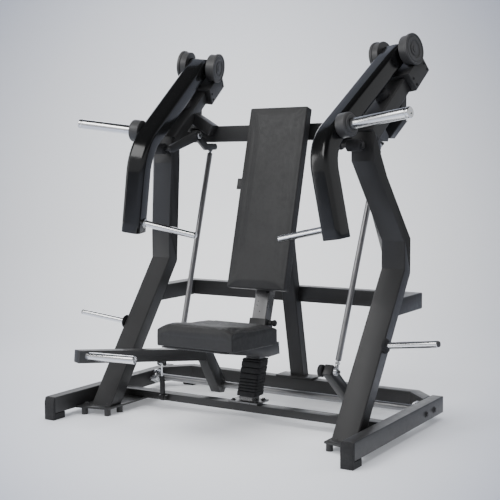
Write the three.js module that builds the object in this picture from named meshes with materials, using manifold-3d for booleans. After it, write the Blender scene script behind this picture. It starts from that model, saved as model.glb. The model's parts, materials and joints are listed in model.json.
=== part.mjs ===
// Plate-loaded converging chest press with two independent press arms and a foot-operated start assist.
// Millimetres, +Z up. The user sits facing -Y, so the user's left hand is on the +X side.
// The origin is at the bottom centre of the bounding box. Depths below are measured from a datum near
// the middle of the floor frame, and DEPTH_SHIFT moves the model to the origin.
import * as THREE from "three";
import { mergeVertices } from "three/addons/utils/BufferGeometryUtils.js";
import Module from "manifold-3d";

const wasm = await Module();
wasm.setup();

// ---------- driving dimensions ----------
const GAP = 0.3; // clearance between pieces that touch
const OPEN_PIVOT = 1.8; // clearance in the eyes where a closed linkage is left open
const DEPTH_SHIFT = 140.5; // from the working depth datum to the centre of the bounding box

// floor frame
const RAIL_INNER = 776; // half distance between the side rails
const RAIL_WIDTH = 60;
const RAIL_BOTTOM = 33;
const RAIL_TOP = 113;
const RAIL_FRONT = -704;
const RAIL_REAR = 279;
const FOOT_FRONT = -716;
const REAR_BAR = { front: 290, rear: 350, straight: 660 };
const FRONT_BAR = { front: -230, rear: -170, bottom: 42 + GAP, top: 78 };
const BASE_PLATE = { inner: 598, front: -515, rear: -60, thickness: 9 };

// uprights, 120 x 72 tube bent in side view, leaning inward above the upper kink
const UPRIGHT = { inner: 615, width: 120, depth: 72, edge: 5 };
const UPRIGHT_FRONT = { base: -484, kink: 30, elbow: -82 };
const UPRIGHT_LEVELS = { lowerKink: 747, upperKink: 878, elbow: 1250, top: 1386 };
const UPRIGHT_LEAN = 104; // inward shift between the upper kink and the elbow

// press arm pivot: its axis points outward, forward and up, so the handles converge
const PIVOT = new THREE.Vector3(575, 280, 1773);
const PIVOT_YAW = 10; // degrees forward
const PIVOT_RISE = 7.5; // degrees up
const HEAD_SLOPE = 38.5; // degrees, head tube above the horizontal
const HEAD_TUBE = { near: 80, far: 152, halfWidth: 60, start: -520, end: -112 };
const PIVOT_BLOCK = { near: 62, far: 160, halfWidth: 90, start: -115, end: 57 };
const CAP_RADIUS = 77;
const CAP_INNER = 60; // inner face of each bearing cap from the arm's middle
const CAP_THICKNESS = 50;
const AXLE_RADIUS = 15;

// press arm
const ARM_HALF_WIDTH = 50;
const ARM_CORNER = 22;
const ARM_SLOPE = 36; // degrees, upper part above the horizontal
const ARM_LOWER_SLOPE = 94.8; // the lower part runs down and slightly back
const ARM_REACH = 643; // depth in front of the pivot where the two middle lines would meet
const ARM_RISE = 6; // middle line of the upper part over the pivot axis
const ARM_BEND_RADIUS = 200;
const ARM_START = -14;
const ARM_END = -872;
const ARM_OFFSETS = { pivot: 3, elbow: -22.5, end: -14 }; // middle line from the middle of the hub
const HUB = { radius: 42, halfLength: 59.5 };
const PLATE_HORN = { depth: -542, height: -374, start: 30, end: 392, radius: 25 };
const HORN_COLLAR = { start: 30, end: 88, radius: 56 };
const HANDLE = { depth: -600, height: -822, start: -65.6, end: -352, radius: 16.5, droop: 4 };
const REST_STOP = { along: -258, radius: 36, height: 44 };

// start assist
const SHAFT = { y: 111, z: 76, radius: 17 };
const CRANK_PIN = { x: 454, y: -117, z: 263 };
const CRANK = { inner: 392, outer: 440, halfDepth: 27 };
const LIFT_PIVOT = { x: 478, y: 100, z: 1396 };
const LIFT_ROD_EYE = { x: 500, y: 262, z: 1338 };
const LIFT_ROLLER = { from: 516, to: 590, y: -130, z: 1322, radius: 28 };
const LEVER_PLATE = { from: 470, to: 486 };
const ROD_RADIUS = 14;
const ROD_REACH = { lower: 52, upper: 36 }; // from each eye to the end of the tube
const PEDAL_ELBOW = new THREE.Vector3(-360, -30, 258);
const PEDAL_TIP = new THREE.Vector3(-655, -677, 322);
const PEDAL_TUBE = 60;
const FOOT_BAR = { from: -640, to: -350, y: -646, z: 322, radius: 20 };
const DAMPER = { x: -463, footY: -250, footZ: 62, topY: -256, topZ: 236 };

// seat and backrest
const BELLOWS = { bottom: 108, top: 284, folds: 10, root: 7, crest: 15 };
const POST_TILT = Math.atan(0.313); // front post leans back
const POST = { halfWidth: 40, depth: 60, frontAtBase: -197, base: 78 + GAP, top: 1361 - GAP };
const REAR_POST = { baseFront: 318, base: 113 + GAP, slope: -0.2, top: 990 };
const BEAM = { front: 200, rear: 260, bottom: 1361, top: 1445, topHalf: 648, bottomHalf: 581 };
const MID_BEAM = { bottom: 525, top: 605, outer: 698, inner: 618, front: 268, rear: 338 };
const PAD = { halfWidth: 165, thickness: 60, board: 15, bottomY: -113, bottomZ: 631, length: 930, tilt: 15 };
const SEAT = { halfWidth: 208, front: -638, rear: -237 };

// ---------- materials ----------
function paint(color, roughness, metalness) {
  return new THREE.MeshStandardMaterial({ color, roughness, metalness });
}
const frameBlack = paint(0x2b2c2e, 0.6, 0.3);
const armBlack = paint(0x0c0d0f, 0.12, 0.2);
const chrome = paint(0xd8dadd, 0.12, 1);
const rodSteel = paint(0x55585c, 0.35, 0.8);
const zinc = paint(0xb9bcc0, 0.3, 0.9);
const rubber = paint(0x171718, 0.85, 0);
const capGrey = paint(0x3a3c3f, 0.5, 0.3);
const leatherette = paint(0x2c2d2f, 0.55, 0);
const boardBlack = paint(0x1c1c1d, 0.8, 0);

// ---------- geometry helpers ----------
const UP = new THREE.Vector3(0, 1, 0);
const rad = THREE.MathUtils.degToRad;

function solid(geometry) {
  const plain = geometry.index ? geometry.toNonIndexed() : geometry.clone();
  plain.deleteAttribute("normal");
  plain.deleteAttribute("uv");
  const merged = mergeVertices(plain, 1e-4);
  const vertProperties = new Float32Array(merged.attributes.position.array);
  const triVerts = Uint32Array.from(merged.index.array);
  return new wasm.Manifold(new wasm.Mesh({ numProp: 3, vertProperties, triVerts }));
}

function geometryOf(manifold) {
  const mesh = manifold.getMesh();
  const geometry = new THREE.BufferGeometry();
  geometry.setAttribute("position", new THREE.BufferAttribute(new Float32Array(mesh.vertProperties), 3));
  geometry.setIndex(new THREE.BufferAttribute(new Uint32Array(mesh.triVerts), 1));
  return geometry;
}

function join(first, ...others) {
  return geometryOf(others.reduce((sum, other) => sum.add(solid(other)), solid(first)));
}

function cut(first, ...tools) {
  return geometryOf(tools.reduce((rest, tool) => rest.subtract(solid(tool)), solid(first)));
}

function shapeOf(points) {
  return new THREE.Shape(points.map(([a, b]) => new THREE.Vector2(a, b)));
}

// a prism of the outline, with its long edges broken by a bevel of size edge
function prism(outline, length, edge = 0) {
  const shape = outline instanceof THREE.Shape ? outline : shapeOf(outline);
  const options = edge > 0
    ? { depth: length - 2 * edge, bevelThickness: edge, bevelSize: edge, bevelOffset: -edge,
      bevelSegments: 1 }
    : { depth: length, bevelEnabled: false };
  const geometry = new THREE.ExtrudeGeometry(shape, { ...options, curveSegments: 3 });
  return geometry.translate(0, 0, edge);
}

// outline in plan (x, y), from z0 up to z1
function planPrism(outline, z0, z1, edge = 0) {
  return prism(outline, z1 - z0, edge).translate(0, 0, z0);
}

// outline in side view (y, z), from x0 to x1
function sidePrism(outline, x0, x1, edge = 0) {
  const turn = new THREE.Matrix4().makeBasis(
    new THREE.Vector3(0, 1, 0), new THREE.Vector3(0, 0, 1), new THREE.Vector3(1, 0, 0));
  return prism(outline, x1 - x0, edge).applyMatrix4(turn).translate(x0, 0, 0);
}

// outline in front view (x, z), from y0 back to y1
function frontPrism(outline, y0, y1, edge = 0) {
  return prism(outline, y1 - y0, edge).rotateX(Math.PI / 2).translate(0, y1, 0);
}

function rectangle(a0, a1, b0, b1) {
  return [[a0, b0], [a1, b0], [a1, b1], [a0, b1]];
}

function box(x0, x1, y0, y1, z0, z1) {
  return new THREE.BoxGeometry(x1 - x0, y1 - y0, z1 - z0)
    .translate((x0 + x1) / 2, (y0 + y1) / 2, (z0 + z1) / 2);
}

// a solid of revolution: profile holds [radius, distance along direction] and starts and ends on the axis
function turned(origin, direction, profile, segments = 18) {
  const points = profile.map(([radius, along]) => new THREE.Vector2(radius, along));
  const geometry = new THREE.LatheGeometry(points, segments);
  geometry.applyQuaternion(new THREE.Quaternion().setFromUnitVectors(UP, direction.clone().normalize()));
  return geometry.translate(origin.x, origin.y, origin.z);
}

function round(from, to, radius, segments = 18) {
  const length = from.distanceTo(to);
  const direction = to.clone().sub(from);
  return turned(from, direction, [[0, 0], [radius, 0], [radius, length], [0, length]], segments);
}

function roundX(x0, x1, y, z, radius, segments = 18) {
  return round(new THREE.Vector3(x0, y, z), new THREE.Vector3(x1, y, z), radius, segments);
}

function flipped(geometry) {
  const plain = geometry.index ? geometry.toNonIndexed() : geometry.clone();
  const position = plain.attributes.position;
  const b = new THREE.Vector3();
  const c = new THREE.Vector3();
  for (let i = 0; i < position.count; i += 3) {
    b.fromBufferAttribute(position, i + 1);
    c.fromBufferAttribute(position, i + 2);
    position.setXYZ(i + 1, c.x, c.y, c.z);
    position.setXYZ(i + 2, b.x, b.y, b.z);
  }
  return plain;
}

function mirrored(geometry) {
  return flipped(geometry.clone().scale(-1, 1, 1));
}

// a closed solid through sections that hold the same number of points, in order
function loft(sections) {
  const count = sections[0].length;
  const points = sections.flat();
  const faces = [];
  for (let s = 0; s + 1 < sections.length; s += 1) {
    for (let i = 0; i < count; i += 1) {
      const a = s * count + i;
      const b = s * count + ((i + 1) % count);
      faces.push(a, b, a + count, b, b + count, a + count);
    }
  }
  const last = points.length - count;
  const outline = THREE.ShapeUtils.triangulateShape(flatten(sections[0]), []);
  outline.forEach(([a, b, c]) => faces.push(a, c, b, last + a, last + b, last + c));
  const geometry = new THREE.BufferGeometry().setFromPoints(points).setIndex(faces);
  return solid(geometry).volume() < 0 ? flipped(geometry) : geometry;
}

// a flat section's points in its own plane
function flatten(section) {
  const [first, second] = section;
  const third = section[Math.floor(section.length / 2)];
  const along = second.clone().sub(first).normalize();
  const normal = new THREE.Vector3().crossVectors(along, third.clone().sub(first)).normalize();
  const across = new THREE.Vector3().crossVectors(normal, along);
  return section.map((point) => {
    const offset = point.clone().sub(first);
    return new THREE.Vector2(offset.dot(along), offset.dot(across));
  });
}

// a slab with round ends, in side view, between two centres given as [y, z, radius]
function linkOutline(from, to) {
  const angle = Math.atan2(to[1] - from[1], to[0] - from[0]);
  const shape = new THREE.Shape();
  shape.absarc(from[0], from[1], from[2], angle + Math.PI / 2, angle + (3 * Math.PI) / 2, false);
  shape.absarc(to[0], to[1], to[2], angle - Math.PI / 2, angle + Math.PI / 2, false);
  return shape;
}

// ---------- pivot frame, shared by the head and the arm ----------
const headFrame = new THREE.Matrix4().makeTranslation(PIVOT.x, PIVOT.y, PIVOT.z)
  .multiply(new THREE.Matrix4().makeRotationZ(rad(-PIVOT_YAW)))
  .multiply(new THREE.Matrix4().makeRotationY(rad(-PIVOT_RISE)));

function inHead(geometry) {
  return geometry.applyMatrix4(headFrame);
}

// a block in the head's slope: along runs up the head, across runs from the arm side to the underside
function slopedBlock(halfWidth, start, end, near, far, edge = 0) {
  const slope = rad(HEAD_SLOPE);
  const corner = (along, across) => [
    along * Math.cos(slope) + across * Math.sin(slope),
    along * Math.sin(slope) - across * Math.cos(slope)];
  const outline = [corner(start, far), corner(end, far), corner(end, near), corner(start, near)];
  return inHead(sidePrism(outline, -halfWidth, halfWidth, edge));
}

// ---------- assembly bookkeeping ----------
const machine = new THREE.Group();
machine.position.y = DEPTH_SHIFT;

function add(name, geometry, material) {
  const mesh = new THREE.Mesh(geometry, material);
  mesh.name = name;
  machine.add(mesh);
}

function addPair(name, geometry, material) {
  add(`left_${name}`, geometry, material);
  add(`right_${name}`, mirrored(geometry), material);
}

// ---------- floor frame ----------
function sideRail() {
  const section = rectangle(RAIL_FRONT, RAIL_REAR, RAIL_BOTTOM, RAIL_TOP);
  return sidePrism(section, RAIL_INNER, RAIL_INNER + RAIL_WIDTH, 3);
}

function frontFoot() {
  const wall = RAIL_FRONT - GAP;
  const outline = [
    [FOOT_FRONT, 0], [FOOT_FRONT + 82, 0], [FOOT_FRONT + 82, RAIL_BOTTOM - GAP], [wall, RAIL_BOTTOM - GAP],
    [wall, RAIL_TOP - 2], [wall - 4, RAIL_TOP - 2], [FOOT_FRONT, RAIL_TOP - 26]];
  return sidePrism(outline, RAIL_INNER, RAIL_INNER + RAIL_WIDTH, 1.5);
}

function rearCrossbar() {
  const { front, rear, straight } = REAR_BAR;
  const end = RAIL_INNER - GAP;
  const run = end - straight;
  const half = [[straight, front], [end, front - run], [end, rear - run + 25], [straight + 25, rear]];
  const outline = [...half, ...half.slice().reverse().map(([x, y]) => [-x, y])];
  return planPrism(outline, RAIL_BOTTOM, RAIL_TOP, 3);
}

function rearFoot() {
  return planPrism(rectangle(655, 725, 292, 348), 0, RAIL_BOTTOM - GAP, 4);
}

function frontCrossbar() {
  const { front, rear, bottom, top } = FRONT_BAR;
  const end = RAIL_INNER - GAP;
  const bar = sidePrism(rectangle(front, rear, bottom, top), -end, end, 3);
  const ear = linkOutline([DAMPER.footY, DAMPER.footZ, 11], [front + 4, DAMPER.footZ, 11]);
  const inner = sidePrism(ear, DAMPER.x - 22, DAMPER.x - 15);
  const outer = sidePrism(ear, DAMPER.x + 15, DAMPER.x + 22);
  const pin = roundX(DAMPER.x - 25, DAMPER.x + 25, DAMPER.footY, DAMPER.footZ, 5, 12);
  return join(bar, inner, outer, pin);
}

// ---------- uprights ----------
function uprightOutline() {
  const { depth } = UPRIGHT;
  const { base, kink, elbow } = UPRIGHT_FRONT;
  const { lowerKink, upperKink, elbow: elbowZ, top } = UPRIGHT_LEVELS;
  const foot = RAIL_BOTTOM + BASE_PLATE.thickness;
  const lowSlope = (kink - base) / (lowerKink - foot);
  const highSlope = (elbow - kink) / (elbowZ - upperKink);
  const rearBase = base + depth * Math.hypot(1, lowSlope);
  const rearKinkLow = foot + (kink + depth - rearBase) / lowSlope;
  const rearShift = depth * (Math.hypot(1, highSlope) - 1) / highSlope;
  const rearKinkHigh = upperKink - rearShift;
  const rearElbow = elbowZ - rearShift;
  return [
    [base, foot], [rearBase, foot], [kink + depth, rearKinkLow], [kink + depth, rearKinkHigh],
    [elbow + depth, rearElbow], [elbow + depth, top - 40], [elbow, top], [elbow, elbowZ],
    [kink, upperKink], [kink, lowerKink]];
}

// lean the tube inward between the upper kink and the elbow
function lean(geometry) {
  const position = geometry.attributes.position;
  const { upperKink, elbow } = UPRIGHT_LEVELS;
  for (let i = 0; i < position.count; i += 1) {
    const share = THREE.MathUtils.clamp((position.getZ(i) - upperKink) / (elbow - upperKink), 0, 1);
    const straightened = share < 0.06 ? 0 : share > 0.94 ? 1 : share;
    position.setX(i, position.getX(i) - UPRIGHT_LEAN * straightened);
  }
  return geometry;
}

function leverBracket() {
  const rear = UPRIGHT_FRONT.elbow + UPRIGHT.depth;
  const shape = new THREE.Shape();
  shape.moveTo(rear - 12, 1342);
  shape.lineTo(64, 1342);
  shape.absarc(64, 1352, 10, -Math.PI / 2, 0, false);
  shape.lineTo(74, 1378);
  shape.lineTo(118, 1378);
  shape.absarc(118, 1396, 18, -Math.PI / 2, Math.PI / 2, false);
  shape.lineTo(rear - 12, 1414);
  const cheek = sidePrism(shape, 517, 535);
  const outerCheek = sidePrism([[rear - 12, 1342], [66, 1342], [74, 1352], [74, 1370], [20, 1414],
    [rear - 12, 1414]], 614, 630);
  const boss = roundX(LEVER_PLATE.to + GAP, 520, LIFT_PIVOT.y, LIFT_PIVOT.z, 20);
  const pin = roundX(LEVER_PLATE.from - 16, 500, LIFT_PIVOT.y, LIFT_PIVOT.z, 10, 16);
  const nut = roundX(LEVER_PLATE.from - 16, LEVER_PLATE.from - GAP, LIFT_PIVOT.y, LIFT_PIVOT.z, 17, 16);
  return join(cheek, outerCheek, boss, pin, nut);
}

function upright() {
  const x0 = UPRIGHT.inner;
  const tube = lean(sidePrism(uprightOutline(), x0, x0 + UPRIGHT.width, UPRIGHT.edge));
  const { halfWidth, start, end, near, far } = HEAD_TUBE;
  const head = slopedBlock(halfWidth, start, end, near, far, UPRIGHT.edge);
  const { inner, front, rear, thickness } = BASE_PLATE;
  const plateOutline = [
    [inner, front], [RAIL_INNER - GAP, front - 40], [RAIL_INNER - GAP, rear], [inner, rear]];
  const plate = planPrism(plateOutline, RAIL_BOTTOM, RAIL_BOTTOM + thickness);
  const levelers = [[618, front + 14], [740, front - 14], [618, -406]].map(([x, y]) =>
    round(new THREE.Vector3(x, y, 0), new THREE.Vector3(x, y, RAIL_BOTTOM + 2), 16, 16));
  return join(tube, head, plate, leverBracket(), ...levelers);
}

// ---------- storage horn, turned in one piece with its collar ----------
function storageHorn() {
  const origin = new THREE.Vector3(UPRIGHT.inner + UPRIGHT.width + GAP, -192, 422);
  const direction = new THREE.Vector3(242, -30, 33);
  const profile = [[0, 0], [36, 0], [36, 6], [30, 12], [15.5, 14], [15.5, 272], [13, 278], [0, 278]];
  const horn = turned(origin, direction, profile, 24);
  return cut(horn, box(0, UPRIGHT.inner + UPRIGHT.width + GAP, -400, 0, 300, 560));
}

// ---------- head: pivot block, bearing caps, axle and rest stop ----------
function pivotBlock() {
  const { halfWidth, start, end, near, far } = PIVOT_BLOCK;
  const block = slopedBlock(halfWidth, start, end, near, far, 3);
  const tube = HEAD_TUBE;
  const socket = slopedBlock(
    tube.halfWidth + GAP, tube.start, tube.end + GAP, tube.near - GAP, tube.far + GAP);
  const clearance = inHead(roundX(-CAP_INNER, CAP_INNER, 0, 0, HUB.radius + 4, 32));
  return cut(block, socket, clearance, ...capSeats());
}

function capSeats() {
  return [1, -1].map((side) => {
    const from = side * (CAP_INNER - 2);
    const to = side * (CAP_INNER + CAP_THICKNESS + 2);
    return inHead(roundX(Math.min(from, to), Math.max(from, to), 0, 0, CAP_RADIUS + 2 * GAP, 30));
  });
}

function bearingCap(side) {
  const origin = new THREE.Vector3(side * CAP_INNER, 0, 0);
  const thickness = CAP_THICKNESS;
  const bore = AXLE_RADIUS + GAP;
  const body = CAP_RADIUS - 5;
  const profile = [
    [bore, 0], [body, 0], [body, thickness - 16], [CAP_RADIUS, thickness - 16], [CAP_RADIUS, thickness],
    [44, thickness], [40, thickness - 5], [bore, thickness - 5], [bore, 0]];
  return inHead(turned(origin, new THREE.Vector3(side, 0, 0), profile, 30));
}

function pivotAxle() {
  const reach = CAP_INNER + CAP_THICKNESS - 4;
  return inHead(roundX(-reach, reach, 0, 0, AXLE_RADIUS, 24));
}

function restStop() {
  const slope = rad(HEAD_SLOPE);
  const outward = new THREE.Vector3(0, -Math.sin(slope), Math.cos(slope));
  const base = new THREE.Vector3(0, Math.cos(slope), Math.sin(slope)).multiplyScalar(REST_STOP.along)
    .addScaledVector(outward, GAP - HEAD_TUBE.near);
  const { radius, height } = REST_STOP;
  const profile = [[0, 0], [radius, 0], [radius, height - 24], [radius - 3, height - 22],
    [radius - 3, height - 8], [radius - 10, height - 1], [0, height]];
  return inHead(turned(base, outward, profile, 28));
}

// ---------- press arm ----------
// the middle line of the arm tube in side view, with the direction it runs in: start, bend, lower end
function armStations() {
  const slope = rad(ARM_SLOPE);
  const last = rad(ARM_LOWER_SLOPE);
  const tangent = ARM_BEND_RADIUS * Math.tan((last - slope) / 2);
  const corner = [-ARM_REACH, ARM_RISE - ARM_REACH * Math.tan(slope)];
  const bendStart = [corner[0] + tangent * Math.cos(slope), corner[1] + tangent * Math.sin(slope)];
  const centre = [
    bendStart[0] + ARM_BEND_RADIUS * Math.sin(slope), bendStart[1] - ARM_BEND_RADIUS * Math.cos(slope)];
  const steps = 8;
  const bend = Array.from({ length: steps + 1 }, (_, i) => {
    const angle = slope + ((last - slope) * i) / steps;
    const y = centre[0] - ARM_BEND_RADIUS * Math.sin(angle);
    return { y, z: centre[1] + ARM_BEND_RADIUS * Math.cos(angle), angle };
  });
  const endY = corner[0] + (ARM_END - corner[1]) / Math.tan(last);
  const start = { y: ARM_START, z: ARM_RISE + ARM_START * Math.tan(slope), angle: slope };
  return [start, ...bend, { y: endY, z: ARM_END, angle: last }];
}

// how far the middle line lies outboard at a height: in towards the elbow, then out again
function armOffset(z) {
  const elbow = ARM_RISE - ARM_REACH * Math.tan(rad(ARM_SLOPE));
  const { pivot, elbow: inset, end } = ARM_OFFSETS;
  return z > elbow
    ? pivot + ((inset - pivot) * (ARM_RISE - z)) / (ARM_RISE - elbow)
    : inset + ((end - inset) * (elbow - z)) / (elbow - ARM_END);
}

function pressArm() {
  const section = roundedRectangle(ARM_HALF_WIDTH, ARM_HALF_WIDTH, ARM_CORNER).getPoints(4).slice(0, -1);
  const tube = loft(armStations().map(({ y, z, angle }) => section.map((point) => new THREE.Vector3(
    armOffset(z) + point.x, y - point.y * Math.sin(angle), z + point.y * Math.cos(angle)))));
  const hub = roundX(-HUB.halfLength, HUB.halfLength, 0, 0, HUB.radius, 28);
  const bore = roundX(-70, 70, 0, 0, AXLE_RADIUS + GAP, 18);
  return inHead(cut(join(tube, hub), bore, hornSeat()));
}

function hornSeat() {
  const { start, radius } = HORN_COLLAR;
  return roundX(start - GAP, 80, PLATE_HORN.depth, PLATE_HORN.height, radius + GAP, 32);
}

function plateHornCollar() {
  const { start, end, radius } = HORN_COLLAR;
  const origin = new THREE.Vector3(start, PLATE_HORN.depth, PLATE_HORN.height);
  const length = end - start;
  const bore = PLATE_HORN.radius + GAP;
  const profile = [[bore, 0], [radius, 0], [radius, length - 14], [radius - 4, length - 10],
    [radius - 10, length - 10], [radius - 14, length], [bore, length], [bore, 0]];
  return inHead(turned(origin, new THREE.Vector3(1, 0, 0), profile, 24));
}

function plateHorn() {
  const { start, end, radius, depth, height } = PLATE_HORN;
  const length = end - start;
  const origin = new THREE.Vector3(start, depth, height);
  const profile = [[0, 0], [radius, 0], [radius, length - 22], [radius - 2, length - 20],
    [radius - 2, length - 17], [radius, length - 15], [radius, length - 4], [radius - 4, length], [0, length]];
  return inHead(turned(origin, new THREE.Vector3(1, 0, 0), profile, 24));
}

function handle() {
  const { start, end, radius, depth, height, droop } = HANDLE;
  const length = start - end;
  const origin = new THREE.Vector3(start, depth, height);
  const direction = new THREE.Vector3(-Math.cos(rad(droop)), 0, -Math.sin(rad(droop)));
  const profile = [[0, 0], [24, 0], [24, 5], [radius, 7], [radius, length - 4], [radius - 4, length],
    [0, length]];
  const grip = turned(origin, direction, profile, 24);
  const clearance = roundX(start - GAP, start + 60, depth, height, 60, 16);
  return inHead(cut(grip, clearance));
}

// ---------- beams and posts ----------
function upperCrossbeam() {
  const { front, rear, bottom, top, topHalf, bottomHalf } = BEAM;
  const outline = [[-bottomHalf, bottom], [bottomHalf, bottom], [topHalf, top], [-topHalf, top]];
  const beam = frontPrism(outline, front, rear, 3);
  const braceOutline = [[409, 1446], [440, 1395], [566, 1470], [535, 1521]];
  const brace = frontPrism(braceOutline, front - 58, front + 2, 3);
  const link = box(540, 556, 140, front + 2, 1398, 1436);
  const saddle = box(556, 640, front, rear, top - 4, 1620);
  const tube = HEAD_TUBE;
  const headRoom = slopedBlock(tube.halfWidth + GAP, tube.start, 0, tube.near - 60, tube.far + GAP);
  const bracketRoom = box(500, 535 + GAP, -40, 118 + 18 + GAP, 1340, 1416);
  const side = cut(join(brace, link, saddle), headRoom, bracketRoom);
  return join(beam, side, mirrored(side));
}

function midCrossbeam() {
  const { bottom, top, outer, inner, front, rear } = MID_BEAM;
  const start = -60;
  const outline = [
    [-outer, start], [-inner, start], [-inner, front], [inner, front], [inner, start], [outer, start],
    [outer, rear], [-outer, rear]];
  const beam = planPrism(outline, bottom, top, 3);
  const tube = sidePrism(uprightOutline().map(([y, z]) => [y + GAP, z]), UPRIGHT.inner - 5,
    UPRIGHT.inner + UPRIGHT.width + 5);
  const ahead = sidePrism([[-400, 400], [-160, 400], [60, 700], [-400, 700]], 600, 760);
  return cut(beam, join(tube, ahead), mirrored(join(tube, ahead)), rearPostTube(GAP));
}

function frontPostFace(z) {
  return POST.frontAtBase + (z - POST.base) * Math.tan(POST_TILT);
}

function frontPost() {
  const { halfWidth, depth, base, top } = POST;
  const thick = depth / Math.cos(POST_TILT);
  const outline = [
    [frontPostFace(base), base], [frontPostFace(base) + thick, base], [frontPostFace(top) + thick, top],
    [frontPostFace(top), top]];
  const tube = sidePrism(outline, -halfWidth, halfWidth, 4);
  const plate = planPrism(rectangle(-82, 82, -226, -112), base, base + 9);
  return join(tube, plate);
}

function rearPostFace(z) {
  return REAR_POST.baseFront + (z - REAR_POST.base) * REAR_POST.slope;
}

function rearPostTube(clearance) {
  const { base, top } = REAR_POST;
  const thick = POST.depth * Math.hypot(1, REAR_POST.slope);
  const outline = [
    [rearPostFace(base) - clearance, base], [rearPostFace(base) + thick + clearance, base],
    [rearPostFace(top) + thick + clearance, top], [rearPostFace(top) - clearance, top]];
  const half = POST.halfWidth + clearance;
  return sidePrism(outline, -half, half, clearance > 0 ? 0 : 4);
}

function rearPost() {
  const thick = POST.depth / Math.cos(POST_TILT);
  const back = (z) => frontPostFace(z) + thick + GAP;
  const ahead = sidePrism([[back(700) - 300, 700], [back(700), 700], [back(1100), 1100],
    [back(1100) - 300, 1100]], -60, 60);
  const plate = planPrism(rectangle(-110, 110, 284, 386), REAR_POST.base, REAR_POST.base + 9);
  return join(cut(rearPostTube(0), ahead), plate);
}

// ---------- seat ----------
// a ring round the front post between two heights: outline in the post's own section
function postSleeve(from, to, wall, clearance) {
  const centre = (z) => frontPostFace(z) + POST.depth / Math.cos(POST_TILT) / 2;
  const outer = roundedRectangle(POST.halfWidth + clearance + wall, POST.depth / 2 + clearance + wall, 8);
  const inner = roundedRectangle(POST.halfWidth + clearance, POST.depth / 2 + clearance, 3);
  outer.holes.push(inner);
  const length = (to - from) / Math.cos(POST_TILT);
  const sleeve = new THREE.ExtrudeGeometry(outer, { depth: length, bevelEnabled: false, curveSegments: 3 });
  return sleeve.rotateX(-POST_TILT).translate(0, centre(from), from);
}

function roundedRectangle(halfWidth, halfDepth, radius) {
  const shape = new THREE.Shape();
  const x = halfWidth - radius;
  const y = halfDepth - radius;
  shape.absarc(x, y, radius, 0, Math.PI / 2, false);
  shape.absarc(-x, y, radius, Math.PI / 2, Math.PI, false);
  shape.absarc(-x, -y, radius, Math.PI, 1.5 * Math.PI, false);
  shape.absarc(x, -y, radius, 1.5 * Math.PI, 2 * Math.PI, false);
  return shape;
}

// an accordion: its folds alternate between a narrow root and a wide crest up the post
function bellows() {
  const { bottom, top, folds, root, crest } = BELLOWS;
  const step = (top - bottom) / folds;
  const ring = (z, wall) => {
    const centre = frontPostFace(z) + POST.depth / Math.cos(POST_TILT) / 2;
    const outline = roundedRectangle(POST.halfWidth + wall, POST.depth / 2 + wall, wall);
    return outline.getPoints(1).map((point) => new THREE.Vector3(point.x, centre + point.y, z));
  };
  const rings = Array.from({ length: folds }, (_, i) => [
    ring(bottom + step * (i + 0.1), root), ring(bottom + step * (i + 0.35), crest),
    ring(bottom + step * (i + 0.65), crest), ring(bottom + step * (i + 0.9), root)]);
  return cut(loft(rings.flat()), postRoom(2));
}

function seatCarriage() {
  const sleeve = postSleeve(300, 468, 8, 1);
  const { front } = SEAT;
  const wedge = sidePrism([[front + 6, 400], [-228, 322], [-120, 322], [-128, 382], [-240, 382],
    [front + 6, 401]], -150, 150);
  const room = box(-200, 200, -100, 200, 300, 480);
  const arm = box(-56, 56, -232, frontPostFace(380) + 12, 330, 378);
  const boss = roundX(47, 66, -50, 456, 13, 16);
  const board = sidePrism([[front + 4, 401], [-238, 383], [-238, 389], [front + 4, 407]], -180, 180);
  const pinRoom = roundX(30, 70, -50, 456, 6.5, 16);
  return cut(join(cut(wedge, room), arm, sleeve, boss, board), postRoom(1), pinRoom);
}

// the space the front post takes up in whatever surrounds it
function postRoom(clearance) {
  const half = POST.halfWidth + clearance;
  const thick = POST.depth / Math.cos(POST_TILT);
  const slack = clearance / Math.cos(POST_TILT);
  const [low, high] = [90, 520];
  return sidePrism([
    [frontPostFace(low) - slack, low], [frontPostFace(low) + thick + slack, low],
    [frontPostFace(high) + thick + slack, high], [frontPostFace(high) - slack, high]], -half, half);
}

function seatPad() {
  const { halfWidth, front, rear } = SEAT;
  const drop = (y) => (front - y) * 0.045;
  const bottom = (y) => 407 + GAP + 0.5 + drop(y);
  const outline = [
    [front, bottom(front)], [rear, bottom(rear)], [rear, 470], [rear - 40, 486], [-430, 494], [-560, 512],
    [front + 18, 516], [front, 500]];
  return sidePrism(outline, -halfWidth, halfWidth, 10);
}

function pullPin() {
  const origin = new THREE.Vector3(40 + GAP + 0.5, -50, 456);
  const profile = [[0, 0], [5.5, 0], [5.5, 27], [8, 27], [15, 31], [17, 40], [13, 48], [0, 48]];
  return turned(origin, new THREE.Vector3(1, 0, 0), profile, 14);
}

// ---------- backrest ----------
function onPad(along, out) {
  const tilt = rad(PAD.tilt);
  return [
    PAD.bottomY + along * Math.sin(tilt) - out * Math.cos(tilt),
    PAD.bottomZ + along * Math.cos(tilt) + out * Math.sin(tilt)];
}

function backrestPad() {
  const { halfWidth, thickness, length } = PAD;
  const outline = [onPad(0, -thickness), onPad(length, -thickness), onPad(length, -8), onPad(length - 8, 0),
    onPad(8, 0), onPad(0, -8)];
  return sidePrism(outline.reverse(), -halfWidth, halfWidth, 10);
}

function backrestBoard() {
  const { halfWidth, thickness, board, length } = PAD;
  const rear = -thickness - board;
  const outline = [onPad(12, rear), onPad(length - 12, rear), onPad(length - 12, -thickness - GAP),
    onPad(12, -thickness - GAP)];
  return sidePrism(outline.reverse(), 12 - halfWidth, halfWidth - 12, 3);
}

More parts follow.
